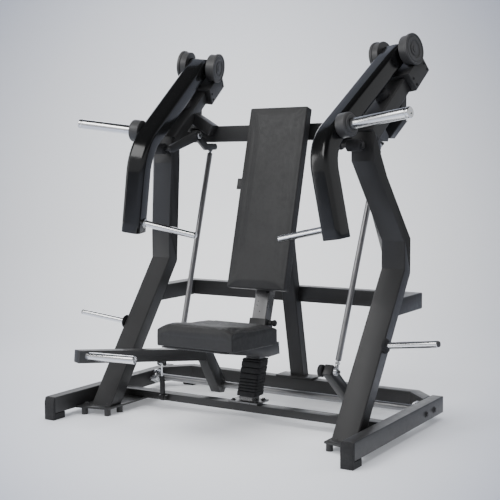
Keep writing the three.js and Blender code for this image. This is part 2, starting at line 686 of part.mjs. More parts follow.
// two stand-offs from the front post to the board, and the side plate that shows beside the pad
function backrestBracket() {
  const rear = -PAD.thickness - PAD.board - GAP;
  const standOff = (low, high) => {
    const lowPoint = onPad(low, rear);
    const highPoint = onPad(high, rear);
    return sidePrism([lowPoint, [frontPostFace(lowPoint[1]) + 8, lowPoint[1]],
      [frontPostFace(highPoint[1]) + 8, highPoint[1]], highPoint], -38, 38);
  };
  const spine = sidePrism([onPad(60, rear), onPad(60, rear - 6), onPad(860, rear - 6), onPad(860, rear)],
    -38, 38);
  const bar = sidePrism([onPad(520, rear), onPad(520, rear - 8), onPad(577, rear - 8), onPad(577, rear)],
    -232, 60);
  const thick = POST.depth / Math.cos(POST_TILT);
  const post = sidePrism([
    [frontPostFace(500) - GAP, 500], [frontPostFace(500) + thick, 500],
    [frontPostFace(1500) + thick, 1500], [frontPostFace(1500) - GAP, 1500]], -60, 60);
  return cut(join(spine, bar, standOff(80, 160), standOff(430, 500), standOff(680, 740)), post);
}

// ---------- start assist ----------
function shaftBearing() {
  const { y, z, radius } = SHAFT;
  const end = RAIL_INNER - GAP;
  const flange = new THREE.Shape();
  flange.absarc(y + 46, z - 5, 14, -Math.PI / 2, Math.PI / 2, false);
  flange.absarc(y, z, 38, Math.PI * 0.3, Math.PI * 0.7, false);
  flange.absarc(y - 46, z - 5, 14, Math.PI / 2, 1.5 * Math.PI, false);
  flange.absarc(y, z, 38, Math.PI * 1.3, Math.PI * 1.7, false);
  const plate = sidePrism(flange, end - 14, end);
  const boss = roundX(end - 32, end - 10, y, z, 32);
  const bolts = [y - 46, y + 46].map((at) => roundX(end - 24, end - 10, at, z - 5, 9, 12));
  const bore = roundX(end - 60, end + 10, y, z, radius + GAP);
  return cut(join(plate, boss, ...bolts), bore);
}

function pedalShaft() {
  const end = RAIL_INNER - GAP - 1;
  return roundX(-end, end, SHAFT.y, SHAFT.z, SHAFT.radius, 24);
}

function crank() {
  const { x, y, z } = CRANK_PIN;
  const { inner, outer, halfDepth } = CRANK;
  const direction = new THREE.Vector2(y - SHAFT.y, z - SHAFT.z).normalize();
  const across = new THREE.Vector2(-direction.y, direction.x).multiplyScalar(halfDepth);
  const low = new THREE.Vector2(SHAFT.y, SHAFT.z).addScaledVector(direction, -30);
  const high = new THREE.Vector2(y, z).addScaledVector(direction, 14);
  const corners = [low.clone().add(across), high.clone().add(across), high.clone().sub(across),
    low.clone().sub(across)];
  const tube = sidePrism(corners.map((corner) => [corner.x, corner.y]), inner, outer, 3);
  const pin = roundX(outer - 10, x + 20, y, z, 8, 12);
  const bore = roundX(inner - 10, outer + 10, SHAFT.y, SHAFT.z, SHAFT.radius + GAP);
  return cut(join(tube, pin), bore);
}

function crankBumper() {
  return roundX(CRANK.inner - 24, CRANK.inner - GAP, CRANK_PIN.y - 4, CRANK_PIN.z - 2, 30, 20);
}

const lowerEye = new THREE.Vector3(CRANK_PIN.x, CRANK_PIN.y, CRANK_PIN.z);
const upperEye = new THREE.Vector3(LIFT_ROD_EYE.x, LIFT_ROD_EYE.y, LIFT_ROD_EYE.z);
const rodDirection = upperEye.clone().sub(lowerEye).normalize();

function rodPoint(fromLower) {
  return lowerEye.clone().addScaledVector(rodDirection, fromLower);
}

function rodEnd(eye, direction, bore, reach) {
  const ring = roundX(eye.x - 11, eye.x + 11, eye.y, eye.z, 19, 20);
  const tip = eye.clone().addScaledVector(direction, reach - GAP);
  const neck = round(eye.clone().addScaledVector(direction, 12), tip, 9, 16);
  return cut(join(ring, neck), roundX(eye.x - 20, eye.x + 20, eye.y, eye.z, bore, 16));
}

function connectingRod() {
  const length = upperEye.distanceTo(lowerEye);
  return round(rodPoint(ROD_REACH.lower), rodPoint(length - ROD_REACH.upper), ROD_RADIUS, 20);
}

function liftLever() {
  const { from, to } = LEVER_PLATE;
  const { y, z } = LIFT_PIVOT;
  const rear = [upperEye.y, upperEye.z, 17];
  const knee = [176, 1336, 18];
  const outline = [
    sidePrism(linkOutline([y, z, 26], knee), from, to),
    sidePrism(linkOutline(knee, rear), from, to),
    sidePrism(linkOutline([y, z, 26], [LIFT_ROLLER.y, LIFT_ROLLER.z, 20]), from, to)];
  const spindle = roundX(from, LIFT_ROLLER.to + 6, LIFT_ROLLER.y, LIFT_ROLLER.z, 10, 16);
  const head = roundX(LIFT_ROLLER.to + GAP, LIFT_ROLLER.to + 8, LIFT_ROLLER.y, LIFT_ROLLER.z, 15, 16);
  const eyePin = roundX(from, upperEye.x + 20, upperEye.y, upperEye.z, 7, 16);
  const bore = roundX(from - 5, to + 5, y, z, 10 + GAP, 16);
  return cut(join(...outline, spindle, head, eyePin), bore);
}

function liftRoller() {
  const { from, to, y, z, radius } = LIFT_ROLLER;
  const bore = 10 + GAP;
  const length = to - from;
  const profile = [[bore, 0], [radius - 4, 0], [radius, 4], [radius, length - 4], [radius - 4, length],
    [bore, length], [bore, 0]];
  return turned(new THREE.Vector3(from, y, z), new THREE.Vector3(1, 0, 0), profile, 28);
}

function squareTube(from, to, size, edge) {
  const direction = to.clone().sub(from);
  const length = direction.length();
  direction.normalize();
  const sideways = new THREE.Vector3().crossVectors(direction, new THREE.Vector3(0, 0, 1)).normalize();
  const upward = new THREE.Vector3().crossVectors(sideways, direction);
  const half = size / 2;
  const tube = prism(roundedRectangle(half, half, edge), length);
  const frame = new THREE.Matrix4().makeBasis(sideways, upward, direction.clone().negate());
  return tube.applyMatrix4(frame).translate(to.x, to.y, to.z);
}

function pedalLever() {
  const tube = squareTube(PEDAL_ELBOW, PEDAL_TIP, PEDAL_TUBE, 5);
  const half = PEDAL_TUBE / 2;
  const outline = [
    [SHAFT.y - 34, SHAFT.z - 38], [SHAFT.y + 8, SHAFT.z - 44], [SHAFT.y + 25, SHAFT.z - 22],
    [SHAFT.y + 25, SHAFT.z + 20], [PEDAL_ELBOW.y + 34, PEDAL_ELBOW.z + 26],
    [PEDAL_ELBOW.y - 24, PEDAL_ELBOW.z + 29], [PEDAL_ELBOW.y - 12, PEDAL_ELBOW.z - 30]];
  const lever = sidePrism(outline, PEDAL_ELBOW.x - half, PEDAL_ELBOW.x + half, 3);
  const { x, topY, topZ } = DAMPER;
  const lug = sidePrism(linkOutline([topY, topZ, 10], [topY, topZ + 26, 10]), x - 22, x - 16);
  const lugPair = join(lug, lug.clone().translate(38, 0, 0));
  const pin = roundX(x - 24, x + 24, topY, topZ, 4.5, 12);
  const rodPin = roundX(-CRANK_PIN.x - 20, -CRANK_PIN.x + 50, CRANK_PIN.y, CRANK_PIN.z, 8, 12);
  const bore = roundX(PEDAL_ELBOW.x - 60, PEDAL_ELBOW.x + 60, SHAFT.y, SHAFT.z, SHAFT.radius + GAP);
  return cut(join(tube, lever, lugPair, pin, rodPin), bore);
}

function footBar() {
  const { from, to, y, z, radius } = FOOT_BAR;
  const length = to - from;
  const profile = [[0, 0], [radius, 0], [radius, length - 3], [radius - 3, length], [0, length]];
  const bar = turned(new THREE.Vector3(from, y, z), new THREE.Vector3(1, 0.11, 0), profile, 24);
  return cut(bar, squareTube(PEDAL_ELBOW, PEDAL_TIP, PEDAL_TUBE + 2 * GAP, 5));
}

// damper: points along its own axis, from the lower eye
const damperFoot = new THREE.Vector3(DAMPER.x, DAMPER.footY, DAMPER.footZ);
const damperTop = new THREE.Vector3(DAMPER.x, DAMPER.topY, DAMPER.topZ);
const damperDirection = damperTop.clone().sub(damperFoot).normalize();

function damperCylinder() {
  const profile = [[0, 14], [8, 14], [13, 18], [13, 107], [11, 110], [5.5, 110], [5.5, 105], [9, 105],
    [9, 22], [0, 22]];
  const body = turned(damperFoot, damperDirection, profile, 20);
  const eye = roundX(DAMPER.x - 12, DAMPER.x + 12, DAMPER.footY, DAMPER.footZ, 16, 20);
  const bore = roundX(DAMPER.x - 20, DAMPER.x + 20, DAMPER.footY, DAMPER.footZ, 5 + GAP, 12);
  return cut(join(body, cut(eye, bore)), bore);
}

function damperRod() {
  const length = damperTop.distanceTo(damperFoot);
  const profile = [[0, 84], [8.5, 84], [8.5, 92], [4.8, 92], [4.8, length - 8], [0, length - 8]];
  const rod = turned(damperFoot, damperDirection, profile, 16);
  const eye = roundX(DAMPER.x - 12, DAMPER.x + 12, DAMPER.topY, DAMPER.topZ, 11, 16);
  const bore = roundX(DAMPER.x - 20, DAMPER.x + 20, DAMPER.topY, DAMPER.topZ, 4.5 + OPEN_PIVOT, 12);
  return cut(join(rod, eye), bore);
}

// ---------- the machine ----------
addPair("side_rail", sideRail(), frameBlack);
addPair("front_foot", frontFoot(), rubber);
addPair("rear_foot", rearFoot(), rubber);
add("rear_crossbar", rearCrossbar(), frameBlack);
add("front_crossbar", frontCrossbar(), frameBlack);
addPair("upright", upright(), frameBlack);
addPair("storage_horn", storageHorn(), chrome);
add("upper_crossbeam", upperCrossbeam(), frameBlack);
add("mid_crossbeam", midCrossbeam(), frameBlack);
add("front_post", frontPost(), frameBlack);
add("rear_post", rearPost(), frameBlack);
add("post_bellows", bellows(), rubber);

addPair("pivot_block", pivotBlock(), frameBlack);
addPair("outer_pivot_cap", bearingCap(1), capGrey);
addPair("inner_pivot_cap", bearingCap(-1), capGrey);
addPair("pivot_axle", pivotAxle(), zinc);
addPair("arm_rest_stop", restStop(), rubber);

addPair("press_arm", pressArm(), armBlack);
addPair("plate_horn_collar", plateHornCollar(), capGrey);
addPair("plate_horn", plateHorn(), chrome);
addPair("handle", handle(), chrome);

addPair("shaft_bearing", shaftBearing(), zinc);
add("pedal_shaft", pedalShaft(), rodSteel);
add("pedal_lever", pedalLever(), frameBlack);
add("foot_bar", footBar(), chrome);
add("left_crank", crank(), frameBlack);
add("crank_bumper", crankBumper(), rubber);
addPair("connecting_rod", connectingRod(), rodSteel);
addPair("lower_rod_end", rodEnd(lowerEye, rodDirection, 8 + GAP, ROD_REACH.lower), zinc);
const upperEnd = rodEnd(upperEye, rodDirection.clone().negate(), 7 + OPEN_PIVOT, ROD_REACH.upper);
addPair("upper_rod_end", upperEnd, zinc);
addPair("lift_lever", liftLever(), frameBlack);
addPair("lift_roller", liftRoller(), rubber);
add("damper_cylinder", damperCylinder(), rubber);
add("damper_rod", damperRod(), chrome);

add("seat_carriage", seatCarriage(), frameBlack);
add("seat_pad", seatPad(), leatherette);
add("seat_pull_pin", pullPin(), rubber);
add("backrest_bracket", backrestBracket(), frameBlack);
add("backrest_board", backrestBoard(), boardBlack);
add("backrest_pad", backrestPad(), leatherette);

export default machine;
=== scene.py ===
"""Looks for the plate-loaded chest press: every visible piece, its materials, the studio and the camera."""

import json
import math

import bmesh
import bpy
from mathutils import Matrix, Vector

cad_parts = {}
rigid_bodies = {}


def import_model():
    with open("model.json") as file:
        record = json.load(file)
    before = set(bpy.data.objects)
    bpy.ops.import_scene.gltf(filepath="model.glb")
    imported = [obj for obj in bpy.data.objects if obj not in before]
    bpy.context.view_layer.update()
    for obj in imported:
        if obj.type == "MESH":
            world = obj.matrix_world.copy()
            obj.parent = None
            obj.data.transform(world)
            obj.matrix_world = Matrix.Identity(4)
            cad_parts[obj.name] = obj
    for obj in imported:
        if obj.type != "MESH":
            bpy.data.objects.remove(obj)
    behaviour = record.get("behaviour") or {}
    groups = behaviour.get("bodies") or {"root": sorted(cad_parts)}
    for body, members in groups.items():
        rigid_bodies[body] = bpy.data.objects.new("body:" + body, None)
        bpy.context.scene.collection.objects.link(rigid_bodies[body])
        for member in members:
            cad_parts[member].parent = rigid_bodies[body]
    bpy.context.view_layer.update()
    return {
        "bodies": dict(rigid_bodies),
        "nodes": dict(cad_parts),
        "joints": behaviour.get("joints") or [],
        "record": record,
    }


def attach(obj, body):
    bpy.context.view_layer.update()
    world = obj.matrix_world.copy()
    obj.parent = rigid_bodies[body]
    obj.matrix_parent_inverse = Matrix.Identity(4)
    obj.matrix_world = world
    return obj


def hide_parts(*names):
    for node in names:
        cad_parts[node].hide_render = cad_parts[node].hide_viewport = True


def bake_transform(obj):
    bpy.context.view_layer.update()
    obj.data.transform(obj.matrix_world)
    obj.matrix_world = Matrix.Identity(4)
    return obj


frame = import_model()

# ---------------------------------------------------------------- measures
# Shapes are written in millimetres in the design's working frame; row() turns a point into the shared frame.
MM = 0.001
DEPTH_SHIFT = 140.5

CAMERA_AZIMUTH = math.radians(31.77)
CAMERA_DROP = math.radians(4.59)
CAMERA_ROLL = math.radians(-0.287)
CAMERA_PLACE = (2612.3, -4366.6, 1221.6)
CAMERA_LENS = 73.53
SENSOR = 36.0
CAMERA_ACROSS = Vector((math.cos(CAMERA_AZIMUTH), math.sin(CAMERA_AZIMUTH), 0))
CAMERA_LEVEL = Vector((-math.sin(CAMERA_AZIMUTH), math.cos(CAMERA_AZIMUTH), 0))
CAMERA_FORWARD = CAMERA_LEVEL * math.cos(CAMERA_DROP) - Vector((0, 0, math.sin(CAMERA_DROP)))

# Backdrop colours: painted shade that darkens toward the edge of the view, and a painted glow (painted light)
# in the same colours.
PAPER_MIDDLE = (0.93, 0.94, 0.95)
PAPER_EDGE_SHADE = (0.42, 0.445, 0.52)
PAPER_GLOW = 0.26
PAPER_EDGE_COSINE = 0.945
SWEEP = {"front": -9.0, "flat_end": 2.5, "bend": 3.0, "top": 9.0, "half_width": 12, "steps": 24}

SHARP_ANGLE = math.radians(32)
WELD_GAP = 2e-5
FLAT_ANGLE = math.radians(1)
EASED_EDGE = 1.4
USUAL_CORNER = math.radians(20)
SHALLOW_BEND = math.radians(8)
RAMP = (0.3, 0.7)

HEAD_SLOPE = math.radians(38.5)
CAP = {"radius": 77, "neck": 72, "inner": 60, "thickness": 50, "bore": 15.3}
AXLE_RADIUS = 15
HUB = {"radius": 42, "half": 59.5}
ARM = {"half": 50, "corner": 22, "reach": 643, "rise": 6, "bend": 200, "start": -14, "end": -872}
ARM_SLOPE = math.radians(36)
ARM_LOWER_SLOPE = math.radians(94.8)
ARM_OFFSETS = {"pivot": 3, "elbow": -22.5, "end": -14}
HORN = {"depth": -542, "height": -374, "start": 30, "end": 392, "radius": 25}
COLLAR = {"start": 30, "end": 88, "radius": 56}
HANDLE = {"depth": -600, "height": -822, "start": -65.6, "end": -352, "radius": 16.5}
HANDLE_DROOP = math.radians(4)
STOP = {"along": -258, "radius": 36, "height": 44, "seat": 79.7}
BLOCK_HALF = 90
BLOCK_SCREWS = ((96.5, -60), (122.7, -85), (-10, -140.5), (14.8, -168))

SHAFT = (111, 76)
SHAFT_RADIUS = 17
RAIL_INNER = 776
LOWER_EYE = Vector((454, -117, 263))
UPPER_EYE = Vector((500, 262, 1338))
ROD_REACH = {"lower": 52, "upper": 36}
ROLLER = {"from": 516, "to": 590, "y": -130, "z": 1322, "radius": 28}
LEVER_HUB = {"y": 100, "z": 1396, "outer": 486.3, "inner": 469.7}
BEARING = {"spacing": 46, "drop": 5, "ear": 14, "housing": 38}
STORAGE = {"root": Vector((735.3, -192, 422)), "direction": Vector((242, -30, 33)).normalized()}
STORAGE_FACE = 735.3 * MM
FOOT_BAR = {"root": (-640, -646, 322), "direction": (1, 0.11, 0)}
DAMPER_FOOT = Vector((-463, -250, 62))
DAMPER_TOP = Vector((-463, -256, 236))
PULL_PIN_ROOT = (40.8, -50, 456)
BUFFER_ROOT = (391.7, -121, 261)
RAIL_BOLTS = ((836, 61, 70), (836, 161, 71))
PLATE_BOLTS = ((640, -470, 42.3), (752, -500, 42.3), (640, -130, 42.3), (752, -100, 42.3))
POST_BOLTS = ((64, -206, 87.3), (64, -132, 87.3))

POST_TILT = math.atan(0.313)
POST = {"half_width": 40, "half_depth": 30, "front_y": -197, "foot_z": 78.3}
BELLOWS = {"top": 284, "bottom": 108, "y": -157, "folds": (10, 29, 28, 26, 15, 15, 14, 14, 25)}
PAD_TILT = math.radians(15)
PAD = {"half_width": 165, "length": 930, "thickness": 60, "bottom_y": -113, "bottom_z": 631}
SEAT = {"half_width": 208, "front": -638, "rear": -237}
SEAT_CROWN = ((-638, 507), (-620, 515), (-590, 514.5), (-560, 512), (-430, 495), (-277, 486), (-245, 480),
              (-237, 472))
CLOTH_GRID = 0.004
CLOTH_PRESSURE = 3.0
CLOTH_FRAMES = 20


def row(x, y, z):
    """A point of the working frame, in metres in the shared frame."""
    return Vector((x, y + DEPTH_SHIFT, z)) * MM


joints = {joint["name"]: joint for joint in frame["joints"]}


def head_matrix():
    """The left arm pivot's own frame: X out along the pivot axis, Y level and backwards."""
    joint = joints["left_arm_pivot"]
    outward = -Vector(joint["axis"]).normalized()
    backward = Vector((0, 0, 1)).cross(outward).normalized()
    upward = outward.cross(backward)
    turn = Matrix((outward, backward, upward)).transposed().to_4x4()
    return Matrix.Translation(Vector(joint["pos_m"])) @ turn @ Matrix.Scale(MM, 4)


HEAD = head_matrix()
WORK = Matrix.Translation(row(0, 0, 0)) @ Matrix.Scale(MM, 4)


# ---------------------------------------------------------------- materials
def shader_material(name, color, roughness, metallic=0.0, **sockets):
    """A Principled material; sockets are named with _ for each space."""
    material = bpy.data.materials.new(name)
    material.use_nodes = True
    shader = material.node_tree.nodes["Principled BSDF"]
    shader.inputs["Base Color"].default_value = (*color, 1)
    shader.inputs["Roughness"].default_value = roughness
    shader.inputs["Metallic"].default_value = metallic
    for socket, value in sockets.items():
        shader.inputs[socket.replace("_", " ")].default_value = value
    material.diffuse_color = (*color, 1)
    return material


def add_node(material, kind, **values):
    """A node whose named inputs or settings take the values given."""
    node = material.node_tree.nodes.new(kind)
    for name, value in values.items():
        if name in node.inputs:
            node.inputs[name].default_value = value
        else:
            setattr(node, name, value)
    return node


def link(material, source, socket, target, target_socket):
    material.node_tree.links.new(source.outputs[socket], target.inputs[target_socket])


def noise(material, scale, detail, stretch=(1, 1, 1)):
    place = add_node(material, "ShaderNodeTexCoord")
    mapping = add_node(material, "ShaderNodeMapping")
    mapping.inputs["Scale"].default_value = stretch
    texture = add_node(material, "ShaderNodeTexNoise", Scale=scale, Detail=detail)
    link(material, place, "Object", mapping, "Vector")
    link(material, mapping, "Vector", texture, "Vector")
    return texture


def vary(material, texture, socket, low, high):
    """Maps the texture onto a range of colour, for the shader's named socket."""
    node = add_node(material, "ShaderNodeValToRGB")
    for element, position, color in zip(node.color_ramp.elements, RAMP, (low, high)):
        element.position = position
        element.color = (*color, 1)
    link(material, texture, "Fac", node, "Fac")
    link(material, node, "Color", material.node_tree.nodes["Principled BSDF"], socket)


def vary_color(material, texture, low, high):
    vary(material, texture, "Base Color", low, high)


def vary_roughness(material, texture, low, high):
    vary(material, texture, "Roughness", (low,) * 3, (high,) * 3)


def bump(material, texture, strength, distance, output="Fac", after=None):
    """Fine relief on the surface; after is another bump node that this one adds to."""
    node = add_node(material, "ShaderNodeBump", Strength=strength, Distance=distance)
    link(material, texture, output, node, "Height")
    if after:
        link(material, after, "Normal", node, "Normal")
    shader = material.node_tree.nodes["Principled BSDF"]
    link(material, node, "Normal", shader, "Normal")
    return node


def powder_coat():
    """The frame's dark, faintly grained paint."""
    material = shader_material("frame_powder_coat", (0.025, 0.025, 0.0255), 0.34, Specular_IOR_Level=0.36)
    vary_color(material, noise(material, 3.0, 3), (0.0235, 0.0235, 0.024), (0.0285, 0.0285, 0.029))
    vary_roughness(material, noise(material, 40, 3), 0.3, 0.38)
    grain = bump(material, noise(material, 900, 3), 0.12, 0.0005)
    bump(material, noise(material, 120, 2), 0.03, 0.0006, after=grain)
    return material


def post_enamel():
    """The seat post's smoother, lighter grey finish."""
    material = shader_material("post_grey_enamel", (0.16, 0.16, 0.162), 0.3, 0.7, Specular_IOR_Level=0.5)
    vary_roughness(material, noise(material, 60, 3), 0.26, 0.34)
    bump(material, noise(material, 500, 2), 0.05, 0.0004)
    return material


def gloss_paint():
    material = shader_material("arm_gloss_paint", (0.0035, 0.0036, 0.0038), 0.16, Specular_IOR_Level=0.5)
    vary_roughness(material, noise(material, 25, 2), 0.13, 0.19)
    bump(material, noise(material, 180, 2), 0.02, 0.0005)
    return material


def chrome_plate():
    material = shader_material("polished_chrome", (0.88, 0.885, 0.89), 0.2, 1.0)
    vary_roughness(material, noise(material, 60, 3), 0.17, 0.24)
    bump(material, noise(material, 400, 2, (0.05, 1, 1)), 0.02, 0.0002)
    return material


def satin_steel():
    material = shader_material("dark_satin_steel", (0.3, 0.3, 0.305), 0.42, 1.0)
    vary_color(material, noise(material, 8, 3), (0.27, 0.27, 0.275), (0.34, 0.34, 0.345))
    vary_roughness(material, noise(material, 300, 2, (1, 1, 0.03)), 0.38, 0.48)
    return material


def zinc_plate():
    material = shader_material("zinc_plated_steel", (0.62, 0.63, 0.65), 0.25, 1.0)
    vary_color(material, noise(material, 60, 4), (0.5, 0.51, 0.53), (0.72, 0.73, 0.74))
    vary_roughness(material, noise(material, 120, 3), 0.18, 0.34)
    return material


def black_rubber():
    material = shader_material("black_rubber", (0.016, 0.016, 0.017), 0.7, Specular_IOR_Level=0.4)
    vary_color(material, noise(material, 20, 3), (0.013, 0.013, 0.014), (0.022, 0.022, 0.023))
    vary_roughness(material, noise(material, 80, 3), 0.6, 0.8)
    bump(material, noise(material, 700, 3), 0.1, 0.0004)
    return material


def moulded_plastic():
    material = shader_material("dark_grey_moulding", (0.036, 0.036, 0.037), 0.36, Specular_IOR_Level=0.5)
    vary_color(material, noise(material, 12, 3), (0.032, 0.032, 0.033), (0.042, 0.042, 0.043))
    vary_roughness(material, noise(material, 90, 2), 0.36, 0.5)
    bump(material, noise(material, 1100, 2), 0.12, 0.0003)
    return material


def upholstery():
    """Matt vinyl with a fine leather grain."""
    material = shader_material("charcoal_vinyl", (0.023, 0.023, 0.0232), 0.5, Specular_IOR_Level=0.36)
    vary_color(material, noise(material, 9, 4), (0.0215, 0.0215, 0.0217), (0.0255, 0.0255, 0.0257))
    vary_roughness(material, noise(material, 60, 3), 0.44, 0.58)
    cells = add_node(material, "ShaderNodeTexVoronoi", Scale=520.0, feature="SMOOTH_F1")
    place = add_node(material, "ShaderNodeTexCoord")
    link(material, place, "Object", cells, "Vector")
    grain = bump(material, cells, 0.25, 0.0004, output="Distance")
    bump(material, noise(material, 35, 3), 0.05, 0.0015, after=grain)
    return material


def painted_board():
    material = shader_material("black_board", (0.018, 0.018, 0.019), 0.75)
    vary_color(material, noise(material, 30, 4, (6, 1, 1)), (0.014, 0.014, 0.015), (0.026, 0.026, 0.027))
    bump(material, noise(material, 160, 4, (8, 1, 1)), 0.2, 0.0005)
    return material


MATERIALS = {
    "frame_paint": powder_coat(),
    "arm_paint": gloss_paint(),
    "chrome": chrome_plate(),
    "rod_steel": satin_steel(),
    "zinc": zinc_plate(),
    "rubber": black_rubber(),
    "cap_plastic": moulded_plastic(),
    "upholstery": upholstery(),
    "board": painted_board(),
}


# ---------------------------------------------------------------- shapes as (points, faces)
def revolve(profile, segments=72):
    """Turned about +Z; profile holds (radius, along) and is closed, or starts and ends on the axis."""
    points = []
    faces = []
    rings = []
    for radius, along in profile:
        if radius < 1e-6:
            rings.append([len(points)])
            points.append(Vector((0, 0, along)))
            continue
        rings.append(list(range(len(points), len(points) + segments)))
        for i in range(segments):
            angle = 2 * math.pi * i / segments
            points.append(Vector((radius * math.cos(angle), radius * math.sin(angle), along)))
    for below, above in zip(rings, rings[1:]):
        if len(below) == 1 and len(above) == 1:
            continue
        for i in range(segments):
            j = (i + 1) % segments
            if len(below) == 1:
                faces.append((below[0], above[j], above[i]))
            elif len(above) == 1:
                faces.append((below[i], below[j], above[0]))
            else:
                faces.append((below[i], below[j], above[j], above[i]))
    return points, faces


def rounded(profile, radius=1.2, steps=3):
    """The same outline with its corners rounded off, away from the axis."""
    corners = [Vector(point) for point in profile]
    closed = corners[0] == corners[-1]
    if closed:
        corners = corners[:-1]
    count = len(corners)
    result = []
    for i, corner in enumerate(corners):
        if not closed and i in (0, count - 1):
            result.append(tuple(corner))
            continue
        before = corners[i - 1] - corner
        after = corners[(i + 1) % count] - corner
        cut = min(radius, before.length * 0.45, after.length * 0.45)
        start = corner + before.normalized() * cut
        end = corner + after.normalized() * cut
        for step in range(steps + 1):
            t = step / steps
            result.append(tuple(start * (1 - t) ** 2 + corner * 2 * t * (1 - t) + end * t * t))
    if closed:
        result.append(result[0])
    return result


def rounded_rectangle(half_x, half_y, corner, steps):
    """Its outline as (x, y) pairs, anticlockwise, with steps faces to each corner."""
    outline = []
    for sx, sy, start in ((1, 1, 0), (-1, 1, 90), (-1, -1, 180), (1, -1, 270)):
        for i in range(steps + 1):
            angle = math.radians(start + 90 * i / steps)
            outline.append((sx * (half_x - corner) + corner * math.cos(angle),
                            sy * (half_y - corner) + corner * math.sin(angle)))
    return outline


def loft(sections):
    """A closed skin over outlines that all have the same number of points."""
    count = len(sections[0])
    points = [point for section in sections for point in section]
    faces = []
    for s in range(len(sections) - 1):
        for i in range(count):
            j = (i + 1) % count
            faces.append((s * count + i, s * count + j, (s + 1) * count + j, (s + 1) * count + i))
    faces.append(tuple(reversed(range(count))))
    faces.append(tuple(range((len(sections) - 1) * count, len(sections) * count)))
    return points, faces


def moved(shape, matrix):
    points, faces = shape
    return [matrix @ point for point in points], faces


def merged(*shapes):
    points = []
    faces = []
    for more_points, more_faces in shapes:
        start = len(points)
        points += more_points
        faces += [tuple(start + i for i in face) for face in more_faces]
    return points, faces


def mirrored(shape):
    """The shape on the other side of the machine's middle plane."""
    points, faces = shape
    return [Vector((-p.x, p.y, p.z)) for p in points], [tuple(reversed(face)) for face in faces]


def aimed(origin, direction):
    """A matrix that puts a +Z shape at origin, along direction."""
    turn = Vector(direction).to_track_quat("Z", "Y").to_matrix().to_4x4()
    return Matrix.Translation(Vector(origin)) @ turn


def turned(origin, direction, profile, space=WORK, round_off=1.2, segments=72):
    """A turned piece on the axis from origin along direction, with its corners eased."""
    return moved(revolve(rounded(profile, round_off), segments), space @ aimed(origin, direction))


def hexagon_bolt(origin, direction, across, height, washer=True, space=WORK):
    """A chamfered bolt head, on a washer or not, standing out of the face at origin."""
    radius = across / 2 / math.cos(math.pi / 6)
    base = 2.5 if washer else 0
    corners = [Vector((math.cos(math.pi / 3 * i), math.sin(math.pi / 3 * i), 0)) for i in range(6)]
    rings = ((radius, base), (radius, base + height * 0.8), (radius * 0.86, base + height))
    parts = [loft([[corner * r + Vector((0, 0, z)) for corner in corners] for r, z in rings])]
    if washer:
        profile = [(0, 0), (across * 0.86, 0), (across * 0.86, 2), (across * 0.8, 2.6), (0, 2.6)]
        parts.append(revolve(profile, 28))
    return moved(merged(*parts), space @ aimed(origin, direction))


def socket_bolt(origin, direction, radius, height, space):
    """A cylinder head with its round socket recess."""
    profile = [(0, 0), (radius, 0), (radius, height), (radius * 0.55, height),
               (radius * 0.5, height * 0.45), (0, height * 0.4)]
    return moved(revolve(rounded(profile, 0.9, 2), 28), space @ aimed(origin, direction))


# ---------------------------------------------------------------- pieces
def raw_piece(name, shape):
    """A mesh object of the shape as it is."""
    points, faces = shape
    mesh = bpy.data.meshes.new(name)
    mesh.from_pydata(points, [], faces)
    piece = bpy.data.objects.new(name, mesh)
    bpy.context.scene.collection.objects.link(piece)
    return piece


def ease_edges(piece, angle):
    """Rounds every edge that turns by more than angle."""
    modifier = piece.modifiers.new("edges", "BEVEL")
    modifier.width = EASED_EDGE * MM
    modifier.segments = 2
    modifier.limit_method = "ANGLE"
    modifier.angle_limit = angle
    modifier.harden_normals = True
    piece.data.shade_smooth()


def make(name, shape, body, slot, stands_for=()):
    """A finished piece that moves with body and stands for the CAD nodes named."""
    piece = raw_piece(name, shape)
    mesh = piece.data
    cleaned = bmesh.new()
    cleaned.from_mesh(mesh)
    bmesh.ops.remove_doubles(cleaned, verts=cleaned.verts, dist=1e-6)
    bmesh.ops.recalc_face_normals(cleaned, faces=cleaned.faces)
    cleaned.to_mesh(mesh)
    cleaned.free()
    mesh.materials.append(MATERIALS[slot])
    mesh.shade_smooth()
    mesh.set_sharp_from_angle(angle=SHARP_ANGLE)
    if body:
        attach(piece, body)
    if stands_for:
        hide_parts(*stands_for)
    return piece


def make_pair(name, shape, body, slot, node=None):
    """The left piece and its mirror image. body and node are given without their side."""
    for side, own in (("left", shape), ("right", mirrored(shape))):
        sided_body = body if body in frame["bodies"] else f"{side}_{body}"
        stands_for = (f"{side}_{node}",) if node else ()
        make(f"{side}_{name}", own, sided_body, slot, stands_for)


def dress_cad_nodes():
    """CAD nodes that keep their own shape get a material, clean faces and eased edges."""
    slots = {part["node"]: part["material_slot"] for part in frame["record"]["subparts"]}
    for name, node in frame["nodes"].items():
        node.data.materials.clear()
        node.data.materials.append(post_enamel() if name == "front_post" else MATERIALS[slots[name]])
        weld = node.modifiers.new("weld", "WELD")
        weld.merge_threshold = WELD_GAP
        flat = node.modifiers.new("flat", "DECIMATE")
        flat.decimate_type = "DISSOLVE"
        flat.angle_limit = FLAT_ANGLE
        ease_edges(node, SHALLOW_BEND if "upright" in name else USUAL_CORNER)


# ---------------------------------------------------------------- press arms
def arm_stations():
    """(y, z, angle) along the middle of the tube: down the slope, round the bend, down and a little back."""
    first, last, bend = ARM_SLOPE, ARM_LOWER_SLOPE, ARM["bend"]
    tangent = bend * math.tan((last - first) / 2)
    corner_y, corner_z = -ARM["reach"], ARM["rise"] - ARM["reach"] * math.tan(first)
    centre_y = corner_y + tangent * math.cos(first) + bend * math.sin(first)
    centre_z = corner_z + tangent * math.sin(first) - bend * math.cos(first)
    steps = 24
    stations = [(ARM["start"], ARM["rise"] + ARM["start"] * math.tan(first), first)]
    for i in range(steps + 1):
        angle = first + (last - first) * i / steps
        stations.append((centre_y - bend * math.sin(angle), centre_z + bend * math.cos(angle), angle))
    end_y = corner_y + (ARM["end"] - corner_z) / math.tan(last)
    return stations + [(end_y, ARM["end"], last)]


